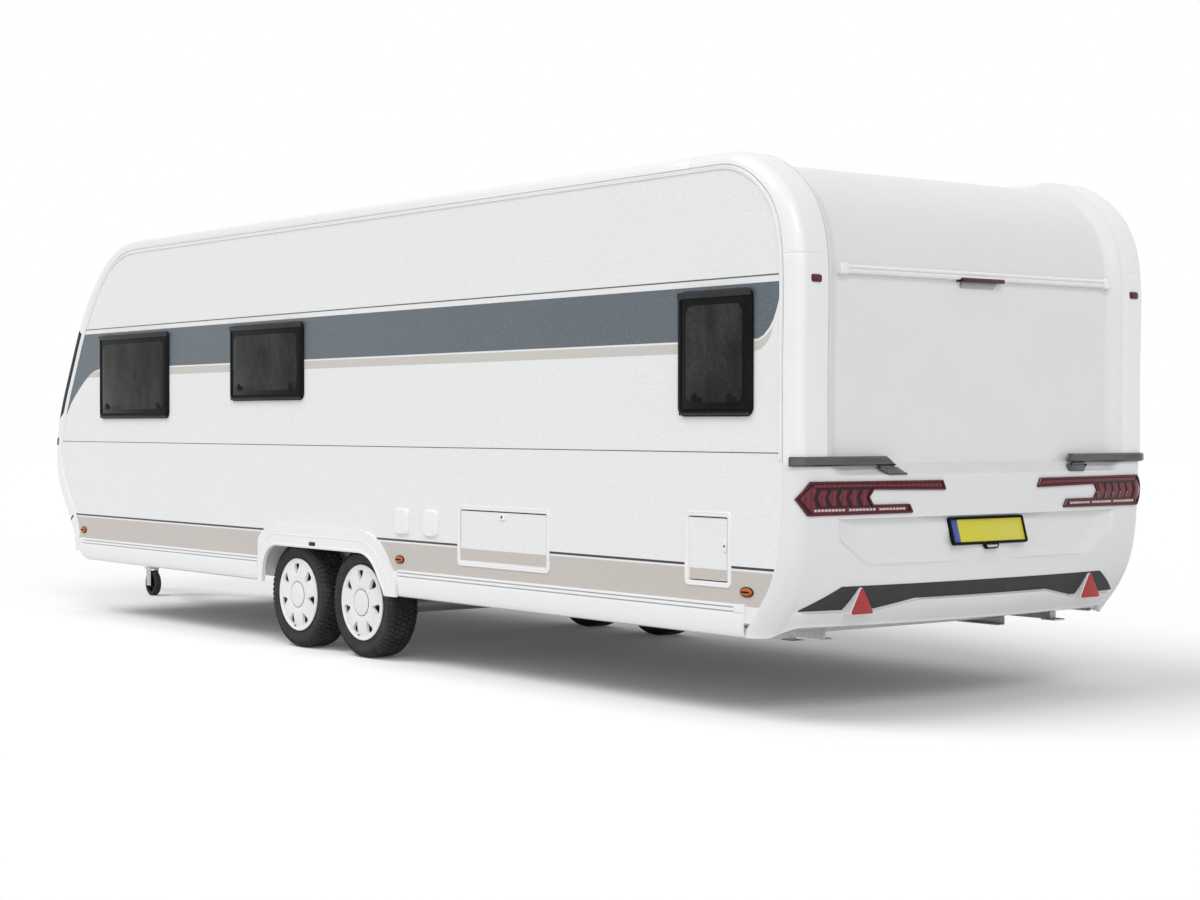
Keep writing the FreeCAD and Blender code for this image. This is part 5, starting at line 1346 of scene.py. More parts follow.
@dataclass
class RearFittings:
    """What is fixed to the rear panel: the rail with its brake light, the side lamps and the plate."""

    rail_z: float = 2.095
    rail_half: float = 0.957
    rail_x: float = 0.0445
    lamp_y: float = 1.133
    plate_tilt: float = math.atan(0.279)

    def build(self) -> None:
        """A profiled rail with round-ended caps, lamps on small feet and the number plate's holder."""
        rail = back_lay(REAR_X + self.rail_x)
        section = np.array([(0.0, 0.022), (-0.018, 0.024), (-0.034, 0.019), (-0.04, 0.01), (-0.036, 0.004),
                            (-0.03, 0.002), (-0.034, -0.003), (-0.038, -0.01), (-0.032, -0.019),
                            (-0.014, -0.023), (0.0, -0.022)])
        path = np.array([-self.rail_half + 0.03, self.rail_half - 0.03])
        rings = np.stack([np.column_stack([REAR_X + self.rail_x + section[:, 0], np.full(len(section), y),
                                           self.rail_z + section[:, 1]]) for y in path])
        ends = [tube(rings)]
        for side in (LEFT, RIGHT):
            cap = rounded_box(-0.026, -0.027, 0.026, 0.027, 0.01)
            centre = side * (self.rail_half - 0.016)
            ends.append(plate(cap + np.array([centre, self.rail_z]), -0.002, 0.043, 0.008, rail))
            ends.append(plate(circle(0.006, 14, (centre, self.rail_z + 0.01)), 0.03, 0.0455, 0.001,
                              rail))
        piece("rear_rail_profile", joined(ends), WHITE_MOULDING, "white_moulding", replaces=["rear_rail"],
              angle=25)
        self._lamps()
        self._plate()

    def _lamps(self) -> None:
        """Two small red lamps on the mouldings, a long thin one along the rail and a grey patch of painted
        shadow under it.
        """
        wall, rail = back_lay(REAR_X), back_lay(REAR_X + self.rail_x)
        lamps, feet = [], []
        for side in (LEFT, RIGHT):
            box = rounded_box(side * self.lamp_y - 0.029, 2.024, side * self.lamp_y + 0.029, 2.058, 0.009)
            feet.append(plate(inset(box, -0.002), -0.004, 0.004, 0.001, wall))
            lamps.append(plate(box, 0.002, 0.014, 0.005, wall))
        slim = rounded_box(-0.15, 2.066, 0.15, 2.08, 0.006)
        feet.append(plate(rounded_box(-0.154, 2.064, 0.154, 2.083, 0.006), 0.0, 0.0405, 0.002, rail))
        lamps.append(plate(slim, 0.03, 0.0455, 0.003, rail))
        # Painted shadow: a grey plate under the brake lamp, shaped like the shadow cast there.
        shadow_patch = softened([(-0.13, 2.066, 0.004), (0.12, 2.066, 0.004), (0.135, 2.036, 0.006),
                         (-0.105, 2.036, 0.006)])
        piece("side_and_brake_lamps", joined(lamps), RED_LENS, "red_lens", replaces=["red_markers"])
        piece("lamp_feet", joined(feet), DARK_RED, "red_lens")
        piece("brake_lamp_shadow_patch", plate(shadow_patch, 0.0, 0.012, 0.003, rail), PAINTED_SHADE_GREY, "white_moulding")

    def _tilted(self) -> Lay:
        """The way to lay an outline (y, up the plate) on the recess's plane."""
        foot = (REAR_X - 0.0365, 0.806)
        c, s = math.cos(self.plate_tilt), math.sin(self.plate_tilt)

        def laid(outline: Array, height: float) -> Array:
            across, up = outline.T
            return np.column_stack([foot[0] + up * s - height * c, across, foot[1] + up * c + height * s])

        return laid

    def _plate(self) -> None:
        """A black holder with a raised edge, a blank yellow field, a plain blue end and a lamp tab."""
        lay = self._tilted()
        outer = rounded_box(-0.266, -0.002, 0.266, 0.134, 0.012)
        holder = plate(outer, -0.001, 0.008, 0.002, lay)
        rim = frame_ring(outer, [(0.0, 0.0), (0.0, 0.014), (0.002, 0.016), (0.01, 0.016), (0.012, 0.012),
                                 (0.012, 0.004)], lay)
        piece("plate_holder", holder + rim, BLACK_FRAME, "plate", replaces=["number_plate"])
        field = rounded_box(-0.253, 0.011, 0.208, 0.121, 0.003)
        piece("plate_field", plate(field, 0.006, 0.0105, 0.0008, lay, 2), PLATE_YELLOW, "plate")
        end = rounded_box(0.2095, 0.011, 0.253, 0.121, 0.003)
        piece("plate_end", plate(end, 0.006, 0.0105, 0.0008, lay, 2), PLATE_BLUE, "plate")
        tab = softened([(-0.052, -0.004, 0.002), (0.052, -0.004, 0.002), (0.036, -0.026, 0.005),
                        (-0.036, -0.026, 0.005)])
        rim_tab = frame_ring(tab, [(0.0, -0.002), (0.0, 0.016), (0.003, 0.018), (0.005, 0.014), (0.005, 0.0)],
                             lay)
        piece("plate_lamp_frame", rim_tab, BLACK_FRAME, "plate")
        piece("plate_lamp", plate(inset(tab, 0.004), 0.0, 0.0145, 0.003, lay), CLEAR_LENS, "plate")


# The walls' fittings


def from_rear(points: Sequence[Sequence[float]]) -> list[tuple[float, ...]]:
    """Points whose first number is measured ahead of the rear face, put into the model's frame."""
    return [(p[0] + REAR_X, *p[1:]) for p in points]


@dataclass(frozen=True)
class Opening:
    """A rounded opening in a side wall: its corners and its corner radius."""

    x0: float
    z0: float
    x1: float
    z1: float
    round: float = 0.045

    def outline(self, grow: float = 0.0) -> Array:
        """The opening's outline, grown by a distance."""
        return rounded_box(self.x0 - grow, self.z0 - grow, self.x1 + grow, self.z1 + grow,
                           max(self.round + grow, 0.003))


WINDOWS = {
    LEFT: [Opening(-4.2725, 1.417, -3.7575, 2.012), Opening(-0.2825, 1.527, 0.6225, 2.012),
           Opening(1.4875, 1.417, 2.5375, 2.012)],
    RIGHT: [Opening(-3.6725, 1.417, -3.1575, 2.012), Opening(-2.0525, 1.527, -1.1475, 2.012),
            Opening(1.4875, 1.417, 2.5375, 2.012)],
}
HATCHES = {"hatch_front": Opening(-2.7405, 0.605, -1.9155, 0.937, 0.026),
           "hatch_rear": Opening(-4.1245, 0.617, -3.7995, 0.97, 0.026)}
DOOR = Opening(0.3735, 0.56, 1.0072, 2.284, 0.055)
ARCH_X0, ARCH_X1, ARCH_BAND = -1.3195, 0.2485, 0.134
ARCH_OPENING = softened([(-1.2075, 0.27, 0), (-1.2075, 0.4, 0.12), (-1.0425, 0.626, 0.23),
                         (0.1725, 0.626, 0.17), (0.2125, 0.27, 0)], 16)
ARCH_OUTER = np.clip(inset(ARCH_OPENING, -ARCH_BAND), (ARCH_X0, 0.1), (ARCH_X1, 2.0))


@dataclass
class WallFilms:
    """The printed films along both walls, cut where windows, hatches, arches and the door break them."""

    thick: float = 0.0006
    cut: float = 0.05

    def _front_edge(self, low: float, high: float, back: float = 0.006) -> list[tuple[float, float]]:
        """Points down the wall's front edge between two heights, a little behind it."""
        spot, _ = FRONT_RIM.at(np.linspace(FRONT_RIM.crossing(high), FRONT_RIM.crossing(low), 16))
        return [(float(x) - back, float(z)) for x, z in spot]

    def _rear_edge(self, low: float, high: float, ahead: float = 0.006) -> list[tuple[float, float]]:
        """Points up the wall's rear edge between two heights, a little ahead of it."""
        spot, _ = REAR_RIM.at(np.linspace(REAR_RIM.crossing(low), REAR_RIM.crossing(high), 12))
        return [(float(x) + ahead, float(z)) for x, z in spot]

    def _band(self, low: float, high: float) -> Array:
        """A level band that runs from the rear edge to the front edge."""
        return np.array(self._rear_edge(low, high) + self._front_edge(low, high))

    def _slate(self) -> Array:
        """The slate band: hooked down the front edge, with a curved rear end."""
        rear = from_rear([(0.25, 1.774), (0.215, 1.79), (0.178, 1.822), (0.15, 1.86), (0.13, 1.905),
                          (0.115, 1.95), (0.106, 1.99), (0.1, 2.03)])
        hook = from_rear([(7.722, 1.365), (7.68, 1.44), (7.6, 1.53), (7.52, 1.592), (7.44, 1.645),
                          (7.36, 1.695), (7.28, 1.735), (7.2, 1.762), (7.11, 1.775)])
        return np.array(rear + self._front_edge(1.375, 2.03) + hook)

    def _strip(self) -> Array:
        """The pale strip under the slate band, pointed at both ends."""
        return np.array(from_rear([(0.275, 1.717), (0.24, 1.724), (0.205, 1.744), (0.175, 1.776),
                                   (0.152, 1.822), (0.172, 1.808), (0.209, 1.78), (0.247, 1.765),
                                   (0.285, 1.764), (7.1, 1.764), (7.19, 1.757), (7.265, 1.735),
                                   (7.33, 1.717)]))

    def _sheet(self, outline: Array, side: Side) -> Shape:
        """A film's closed slab, just proud of the wall."""
        return prism(outline, -0.0004, self.thick, wall_lay(side))

    def build(self) -> None:
        """Films for both walls: the parts over a hatch or the door ride with it."""
        films = {
            "slate_band": (self._slate(), GREY_FILM),
            "pale_strip": (self._strip(), BEIGE_FILM),
            "upper_line": (self._band(2.059, 2.0655), GREY_LINE),
            "middle_line": (self._band(1.248, 1.2525), GREY_LINE),
            "lower_line": (self._band(0.7105, 0.722), DARK_LINE),
            "lower_field": (self._band(0.54, 0.7), PALE_BEIGE),
        }
        for side, word in ((LEFT, "left"), (RIGHT, "right")):
            lay = wall_lay(side)
            holes = [o.outline(-0.004) for o in WINDOWS[side]] + [ARCH_OUTER]
            if side == LEFT:
                holes += [o.outline(-0.002) for o in HATCHES.values()]
            else:
                holes.append(DOOR.outline(0.007))
            cutter = joined([prism(hole, -self.cut, self.cut, lay) for hole in holes])
            for name, (outline, finish) in films.items():
                piece("%s_%s" % (name, word), carved(self._sheet(outline, side), cutter), finish,
                      "white_panel")
        for name, opening in HATCHES.items():
            lid = rounded_box(opening.x0 + 0.03, opening.z0 + 0.03, opening.x1 - 0.03, opening.z1 - 0.03,
                              0.01)
            low, high = lid[:, 1].min(), min(lid[:, 1].max(), 0.7)
            field = rounded_box(lid[:, 0].min() + 0.002, low + 0.002, lid[:, 0].max() - 0.002, high, 0.002)
            piece(name + "_field", self._sheet(field, LEFT), PALE_BEIGE, "white_panel", name)
        lay = wall_lay(RIGHT)
        door = prism(DOOR.outline(-0.003), -self.cut, self.cut, lay)
        pane = prism(rounded_box(0.47, 1.35, 0.905, 2.02, 0.06), -self.cut, self.cut, lay)
        for name, (outline, finish) in films.items():
            inside = carved(self._sheet(outline, RIGHT), door, "INTERSECT")
            piece("%s_door" % name, carved(inside, pane), finish, "white_panel", "door")


@dataclass
class SideWindows:
    """Hinged acrylic windows: a black frame with a top rail, an inner pane behind and latches."""

    latch_in: float = 0.135
    rail_height: float = 0.032

    def _one(self, opening: Opening, side: int) -> dict[str, Shape]:
        """One window's frame, rail, panes and latches."""
        lay = wall_lay(side)
        outline = opening.outline()
        frame_shape = frame_ring(outline, [(0.0, -0.0005), (0.0, 0.01), (0.003, 0.0145), (0.01, 0.0155),
                                           (0.014, 0.019), (0.018, 0.0215), (0.027, 0.0215), (0.03, 0.017),
                                           (0.032, 0.01), (0.032, 0.001)], lay)
        rail = rounded_box(opening.x0 + 0.004, opening.z1 - 0.004 - self.rail_height, opening.x1 - 0.004,
                           opening.z1 - 0.004, 0.006)
        rail_shape = plate(rail, 0.012, 0.0235, 0.004, lay)
        sill = rounded_box(opening.x0 + 0.014, opening.z0 + 0.006, opening.x1 - 0.014, opening.z0 + 0.02,
                           0.005)
        rail_shape += plate(sill, 0.012, 0.0205, 0.004, lay)
        pane = plate(opening.outline(-0.031), 0.008, 0.0165, 0.004, lay)
        within = Opening(opening.x0 + 0.062, opening.z0 + 0.066, opening.x1 - 0.062, opening.z1 - 0.07)
        inner = plate(within.outline(), 0.012, 0.0178, 0.0012, lay)
        latches = []
        for spot in (opening.x0 + self.latch_in, opening.x1 - self.latch_in):
            body = rounded_box(spot - 0.04, opening.z0 + 0.066, spot + 0.04, opening.z0 + 0.094, 0.01)
            latches.append(plate(body, 0.012, 0.0205, 0.003, lay))
            latches.append(plate(circle(0.019, 20, (spot + 0.014, opening.z0 + 0.09)), 0.012, 0.0225, 0.003,
                                 lay))
        return {"frames": frame_shape, "rails": rail_shape, "panes": pane, "inner": inner,
                "latches": joined(latches)}

    def build(self) -> None:
        """All six windows, gathered by kind."""
        kinds = {
            "frames": (BLACK_FRAME, "window_frame", ["side_window_frames"]),
            "rails": (GREY_TRIM, "window_frame", []),
            "panes": (WINDOW_GLASS, "window_pane", ["side_window_panes"]),
            "inner": (INNER_PANE, "window_pane", []),
            "latches": (BLACK_FRAME, "window_frame", []),
        }
        done = [self._one(opening, side) for side, group in WINDOWS.items() for opening in group]
        for kind, (finish, slot, nodes) in kinds.items():
            piece("window_" + kind, joined([one[kind] for one in done]), finish, slot, replaces=nodes)


@dataclass
class Hatches:
    """Service hatches on the left: frames with a groove round the lid, and push locks."""

    def build(self) -> None:
        """A grooved frame round each hatch and a lock on each lid, on the side away from its hinge."""
        rings = []
        for opening in HATCHES.values():
            rings.append(frame_ring(opening.outline(), [(0.0, -0.001), (0.0, 0.004), (0.0022, 0.0062),
                                                        (0.008, 0.0066), (0.0105, 0.0052), (0.0125, 0.0052),
                                                        (0.015, 0.0064), (0.02, 0.006), (0.0232, 0.004),
                                                        (0.0236, -0.001)], wall_lay(LEFT)))
        piece("hatch_frame_rings", joined(rings), WHITE_MOULDING, "white_moulding", replaces=["hatch_frames"])
        tab = softened(from_rear([(2.192, 0.9, 0.006), (2.258, 0.9, 0.006), (2.25, 0.866, 0.012),
                                  (2.2, 0.866, 0.012)]))
        self._lock("hatch_front", tab, (REAR_X + 2.225, 0.884), 0.008)
        tab = rounded_box(REAR_X + 0.461, 0.782, REAR_X + 0.481, 0.842, 0.009)
        self._lock("hatch_rear", tab, (REAR_X + 0.471, 0.812), 0.006)

    def _lock(self, body: str, tab: Array, spot: tuple[float, float], radius: float) -> None:
        """A raised tab with a dark barrel and its slot."""
        lay = wall_lay(LEFT)
        ring = frame_ring(circle(radius + 0.004, 24, spot), [(0.0, 0.003), (0.0, 0.0072), (0.001, 0.008),
            (0.0034, 0.008), (0.004, 0.0072), (0.004, 0.003)], lay)
        piece(body + "_lock", plate(tab, -0.001, 0.0065, 0.003, lay) + ring, WHITE_MOULDING, "white_moulding",
              body)
        barrel = plate(circle(radius, 24, spot), 0.003, 0.0072, 0.0008, lay)
        slot_mark = plate(rounded_box(spot[0] - 0.0012, spot[1] - 0.004, spot[0] + 0.0012, spot[1] + 0.004,
                                      0.001), 0.005, 0.0078, 0.0003, lay, 1)
        piece(body + "_barrel", barrel + slot_mark, BLACK_FRAME, "white_moulding", body)


@dataclass
class ServiceFlaps:
    """Rounded flaps: two filler flaps on the left and two louvred vents on the right."""

    blades: int = 9
    flap_places: tuple[float, float] = (-1.4325, -1.7205)
    vent_heights: tuple[float, float] = (0.88, 1.56)
    vent_height: float = 0.24

    def build(self) -> None:
        """The filler flaps have a thumb hollow; each vent has a frame with slanted blades over a dark plate
        of painted shade.
        """
        flaps, vents, shade_plates = [], [], []
        for x in self.flap_places:
            outline = rounded_box(x, 0.752, x + 0.134, 0.9, 0.03, 10)
            foot = inset(outline, -0.003)
            lay = wall_lay(LEFT)
            shell = [(foot, -0.001), (foot, 0.0025), (outline, 0.004), (outline, 0.0105),
                     (inset(outline, 0.0015), 0.0135), (inset(outline, 0.005), 0.0158),
                     (inset(outline, 0.01), 0.0165)]
            flaps.append(tube(np.stack([lay(ring, h) for ring, h in shell])))
            thumb = rounded_box(x + 0.045, 0.756, x + 0.089, 0.764, 0.004)
            flaps.append(plate(thumb, 0.01, 0.0185, 0.002, lay))
        for z in self.vent_heights:
            frame_box = Opening(-0.8525, z, -0.3725, z + self.vent_height, 0.02)
            lay = wall_lay(RIGHT)
            vents.append(frame_ring(frame_box.outline(), [(0.0, -0.001), (0.0, 0.009), (0.003, 0.012),
                (0.018, 0.012), (0.021, 0.009), (0.021, 0.001)], lay))
            # A dark plate behind the blades: painted shade of the vent's inside.
            shade_plates.append(plate(frame_box.outline(-0.018), -0.001, 0.002, 0.0005, lay))
            for k in range(self.blades):
                low = z + 0.026 + 0.0212 * k
                section = np.array([(0.002, low), (0.0025, low + 0.016), (0.0105, low + 0.003),
                                    (0.0095, low + 0.0005)])
                ends = np.array([-0.8325, -0.3925])
                off, up = section.T
                rings = [np.column_stack([np.full(4, x), -HALF_WIDTH - off, up]) for x in ends]
                vents.append(tube(np.stack(rings)))
        piece("filler_flaps", joined(flaps), WHITE_MOULDING, "white_moulding", replaces=["service_flaps"])
        piece("vent_frames", joined(vents), WHITE_MOULDING, "white_moulding", angle=25)
        piece("vent_shade_plates", joined(shade_plates), GREY_TRIM, "white_moulding")


@dataclass
class Skirts:
    """The skirts with their grooved rail and its end caps, and a small reflector on each arch."""

    rear_run: tuple[float, float] = (-4.2125, -1.3225)
    front_run: tuple[float, float] = (0.2515, 2.8875)
    grooves: tuple[float, float] = (0.5315, 0.5115)
    end_rise: float = 0.085
    end_run: float = 0.12

    def _section(self) -> Array:
        """The skirt's section (off the wall, height): a grooved rail, a slack face and a turned lip."""
        return np.array([(0.0, 0.5475), (0.0085, 0.5475), (0.0108, 0.546), (0.0114, 0.544), (0.0114, 0.536),
                         (0.0104, 0.5345), (0.0058, 0.5338), (0.005, 0.5325), (0.005, 0.5305), (0.006, 0.529),
                         (0.0108, 0.5282), (0.0116, 0.5265), (0.0116, 0.516), (0.0106, 0.5145),
                         (0.006, 0.5138), (0.0052, 0.5125), (0.0052, 0.5105), (0.0062, 0.509),
                         (0.0122, 0.508), (0.0132, 0.504), (0.0138, 0.49), (0.014, 0.47), (0.0132, 0.445),
                         (0.0112, 0.425), (0.0078, 0.409), (0.003, 0.399), (-0.006, 0.3935), (-0.016, 0.3905),
                         (-0.03, 0.3903), (-0.0305, 0.3945), (-0.016, 0.396), (-0.006, 0.401), (0.0, 0.412),
                         (0.003, 0.428), (0.0, 0.461)])

    def _run(self, start: float, end: float, rounded: bool, side: Side) -> Shape:
        """One length: its foot rises in a quarter ellipse to a rounded end in front."""
        section = self._section()
        reach = np.array([0, 0.004, 0.012, 0.025, 0.045, 0.075, 0.12])
        x = np.concatenate([start + reach, end - reach[::-1]])
        near = np.minimum((end - x) / self.end_run, 1.0)
        lift = self.end_rise * (1 - np.sqrt(1 - (1 - near) ** 2)) * rounded
        share = np.clip((0.5 - section[:, 1]) / 0.11, 0, 1)
        z = section[None, :, 1] + lift[:, None] * share[None]
        proud = section[None, :, 0]
        off = proud - 0.004 * np.clip(1 - (end - x[:, None]) / 0.012, 0, 1) * (proud > 0.002)
        return tube(np.stack([np.broadcast_to(x[:, None], z.shape), side * (HALF_WIDTH + off), z], axis=-1))

    def build(self) -> None:
        """Four lengths of skirt, their rail's end caps, grey strips of painted shade in the rail's grooves,
        and the reflectors.
        """
        runs, caps, groove_shade = [], [], []
        for side in (LEFT, RIGHT):
            lay = wall_lay(side)
            runs += [self._run(*self.rear_run, False, side), self._run(*self.front_run, True, side)]
            for start, end in (self.rear_run, self.front_run):
                # Grey strips in the rail's two grooves: painted shade of the grooves.
                for z in self.grooves:
                    strip = rounded_box(start + 0.002, z - 0.0018, end - 0.002, z + 0.0018, 0.0008, 3)
                    groove_shade.append(plate(strip, 0.003, 0.0064, 0.0004, lay, 1))
            for spot, way in ((self.rear_run[0], 1), (self.front_run[1], -1)):
                x0, x1 = sorted((spot - 0.004 * way, spot + 0.062 * way))
                cap = softened([(x0, 0.508, 0.004), (x1, 0.508, 0.004), (x1, 0.54, 0.014),
                                (x0, 0.552, 0.006)])
                caps.append(plate(cap, -0.0005, 0.0155, 0.004, lay))
                slot_mark = rounded_box(spot + 0.016 * way - 0.007, 0.522, spot + 0.016 * way + 0.007, 0.53,
                                        0.0035)
                caps.append(plate(slot_mark, 0.01, 0.0168, 0.001, lay))
        piece("skirt_lengths", joined(runs), WHITE_MOULDING, "grey_moulding", angle=28, replaces=["skirts"])
        piece("rail_end_caps", joined(caps), WHITE_MOULDING, "grey_moulding")
        piece("rail_groove_shade", joined(groove_shade), PAINTED_SHADE_GREY, "grey_moulding")
        reflectors = []
        for side in (LEFT, RIGHT):
            box = rounded_box(REAR_X + 4.105, 0.64, REAR_X + 4.175, 0.664, 0.006)
            reflectors.append(plate(box, 0.02, 0.0285, 0.003, wall_lay(side)))
        piece("arch_reflectors", joined(reflectors), GREY_TRIM, "grey_moulding")


@dataclass
class WheelSet:
    """Tyres with a blocked tread and full caps with teardrop holes, for all four places."""

    radius: float = 0.327
    rim: float = 0.224
    half: float = 0.097
    middle: float = 1.125
    blocks: int = 64
    holes: int = 7

    def _tyre(self, centre: Triple) -> Shape:
        """Tread blocks in five rows with sipes, over a carcass turned from one closed profile."""
        r, h, rim = self.radius, self.half, self.rim
        base = r - 0.009
        side = np.array([(-0.06, base), (0.06, base), (h - 0.02, base - 0.001), (h - 0.01, base - 0.008),
                         (h - 0.004, base - 0.022), (h - 0.0005, 0.29), (h + 0.001, 0.276), (h, 0.262),
                         (h - 0.002, 0.258), (h - 0.001, 0.252), (h - 0.005, 0.24), (h - 0.009, 0.232),
                         (h - 0.008, 0.229), (h - 0.01, rim + 0.002), (h - 0.016, rim - 0.006),
                         (h - 0.03, rim - 0.012)])
        mirror = side[::-1] * np.array([-1, 1])
        shape = turned_ring(np.vstack([side, mirror[:-2]]), centre, 96)
        rows = [(-0.084, -0.06, 0.006), (-0.056, -0.024, 0.0), (-0.02, 0.02, 0.0), (0.024, 0.056, 0.0),
                (0.06, 0.084, 0.006)]
        tread = [shape]
        pitch = 2 * math.pi / self.blocks
        for index, (a, b, drop) in enumerate(rows):
            starts = np.arange(self.blocks) * pitch + pitch * 0.5 * (index % 2)
            tread.append(self._blocks(starts, pitch * 0.84, a, b, base - 0.003, r, drop, centre))
        shoulder = np.arange(self.blocks) * pitch + pitch * 0.25
        for way in (1, -1):
            tread.append(self._lugs(shoulder, pitch * 0.52, way, centre))
        return joined(tread)

    def _blocks(self, starts: Array, width: float, a: float, b: float, low: float, high: float, drop: float,
                centre: Triple) -> Shape:
        """A ring of blocks between two side positions; drop lowers the edge that faces outwards."""
        turn = starts[:, None] + width * np.array([0, 0, 1, 1, 0, 0, 1, 1])
        side = np.array([a, b, b, a, a, b, b, a])
        skew = np.array([0.0, 0.02, 0.02, 0.0] * 2) * (1 if a + b >= 0 else -1)
        outer = high - drop * (np.abs(side) > 0.08)
        radius = np.where(np.arange(8) < 4, low, outer)
        t = turn + skew[None]
        points = on_circle(centre, side, radius, t)
        faces = [[0, 1, 2, 3], [7, 6, 5, 4], [0, 4, 5, 1], [1, 5, 6, 2], [2, 6, 7, 3], [3, 7, 4, 0]]
        every = [[8 * k + i for i in face] for k in range(len(starts)) for face in faces]
        return Shape(points, every)

    def _lugs(self, starts: Array, width: float, way: int, centre: Triple) -> Shape:
        """Shoulder lugs that run from the tread's edge down the shoulder."""
        profile = [(0.083, self.radius - 0.016), (0.083, self.radius - 0.0065), (0.091, self.radius - 0.0125),
                   (0.0955, self.radius - 0.024), (0.0972, self.radius - 0.034), (0.09, self.radius - 0.036)]
        side, radius = np.array(profile).T
        lugs = []
        for start in starts:
            ends = [on_circle(centre, way * side, radius, turn) for turn in (start, start + width)]
            lugs.append(tube(np.stack(ends)))
        return joined(lugs)

    def _cap(self, centre: Triple, way: int) -> Shape:
        """The cap: a dished disc, with teardrop holes taken out and a raised ring in the middle."""
        face = self.half - 0.016
        profile = np.array([(face + 0.0205, 0.0), (face + 0.0205, 0.0735), (face + 0.02, 0.0755),
                            (face + 0.0175, 0.0775), (face + 0.0172, 0.08), (face + 0.0186, 0.083),
                            (face + 0.0205, 0.1), (face + 0.0212, 0.13), (face + 0.0196, 0.16),
                            (face + 0.016, 0.185), (face + 0.0118, 0.202), (face + 0.0135, 0.208),
                            (face + 0.0165, 0.215), (face + 0.017, 0.22), (face + 0.014, 0.2235),
                            (face + 0.008, 0.2225), (face + 0.001, 0.21), (face + 0.001, 0.0)])
        side, radius = profile.T
        disc = turned_ring(np.column_stack([int(way) * side, radius]), centre, 112, closed=False)
        drop = softened([(0, 0.117, 0.006), (0.037, 0.192, 0.014), (-0.037, 0.192, 0.014)], 8)
        tools = []
        for k in range(self.holes):
            ring = spun(drop, -math.radians(4 + 360 / self.holes * k))
            tools.append(tube(np.stack([about(inset(ring, -grow), centre, way * (face + depth)) for depth,
                                        grow in ((-0.01, -0.002), (0.012, 0.0), (0.0185, 0.0012),
                                                 (0.03, 0.006))])))
        return carved(disc, joined(tools))

    def _inner(self, centre: Triple, way: int) -> Shape:
        """The steel wheel behind the cap: a barrel with a dished face, turned from one closed profile."""
        rim = self.rim
        profile = np.array([(-0.081, rim - 0.0145), (0.062, rim - 0.0145), (0.078, rim - 0.004),
                            (0.08, rim - 0.01), (0.066, rim - 0.024), (0.062, 0.196), (0.058, 0.15),
                            (0.066, 0.11), (0.064, 0.0305), (0.02, 0.0305), (0.021, 0.09), (0.044, 0.14),
                            (0.05, 0.19), (-0.074, 0.196), (-0.081, rim - 0.02)])
        return turned_ring(profile * np.array([way, 1]), centre, 72)

    def build(self) -> None:
        """Each wheel: its tyre and its cap stand for the CAD tyre and rim, on the wheel's own body."""
        for corner in ("front_left", "front_right", "rear_left", "rear_right"):
            body = "wheel_" + corner
            way = LEFT if corner.endswith("left") else RIGHT
            low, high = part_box("rim_" + corner)
            centre = (float(low[0] + high[0]) / 2, way * self.middle, self.radius)
            rubber = TyreRubber("tyre_rubber_" + corner, centre)
            piece("tyre_tread_" + corner, self._tyre(centre), rubber, "tyre_rubber", body, 30,
                  ["tyre_" + corner])
            piece("wheel_cap_" + corner, self._cap(centre, way), CAP_LACQUER, "rim_silver", body, 30,
                  ["rim_" + corner])
            piece("steel_wheel_" + corner, self._inner(centre, way), WHEEL_STEEL, "rim_silver", body, 30)
            valve = np.array([(centre[0] + 0.03, centre[1] + way * 0.083, centre[2] - 0.196),
                              (centre[0] + 0.03, centre[1] + way * 0.104, centre[2] - 0.192)])
            face = self.half - 0.016
            ring = np.array([(face + 0.015, 0.0768), (face + 0.0186, 0.0768), (face + 0.0186, 0.08),
                             (face + 0.015, 0.08)])
            dark = swept(valve, circle(0.004, 12), (0, 0, 1)) + turned_ring(ring * (way, 1), centre, 72)
            piece("valve_" + corner, dark, BLACK_FRAME, "tyre_rubber", body)


@dataclass
class SideLamps:
    """Oval amber lamps on black feet, three a side."""

    places: Triple = (2.8295, -1.3395, -4.2295)
    height: float = 0.606
    half_size: tuple[float, float] = (0.046, 0.024)

    def build(self) -> None:
        """A foot, a domed lens and a small inner lamp for each place."""
        feet, domes = [], []
        for x in self.places:
            for side in (LEFT, RIGHT):
                lay = wall_lay(side)
                ring = circle(1.0, 40) * self.half_size + (x, self.height)
                feet.append(plate(ring, -0.0005, 0.005, 0.0015, lay))
                levels = [(0.0045, 0.004), (0.0048, 0.0075), (0.007, 0.0105), (0.011, 0.0128),
                          (0.016, 0.0138), (0.02, 0.0141)]
                domes.append(tube(np.stack([lay(inset(ring, d), h) for d, h in levels])))
        piece("amber_feet", joined(feet), BLACK_FRAME, "amber_lens", replaces=["amber_markers"])
        piece("amber_domes", joined(domes), AMBER_LENS, "amber_lens")


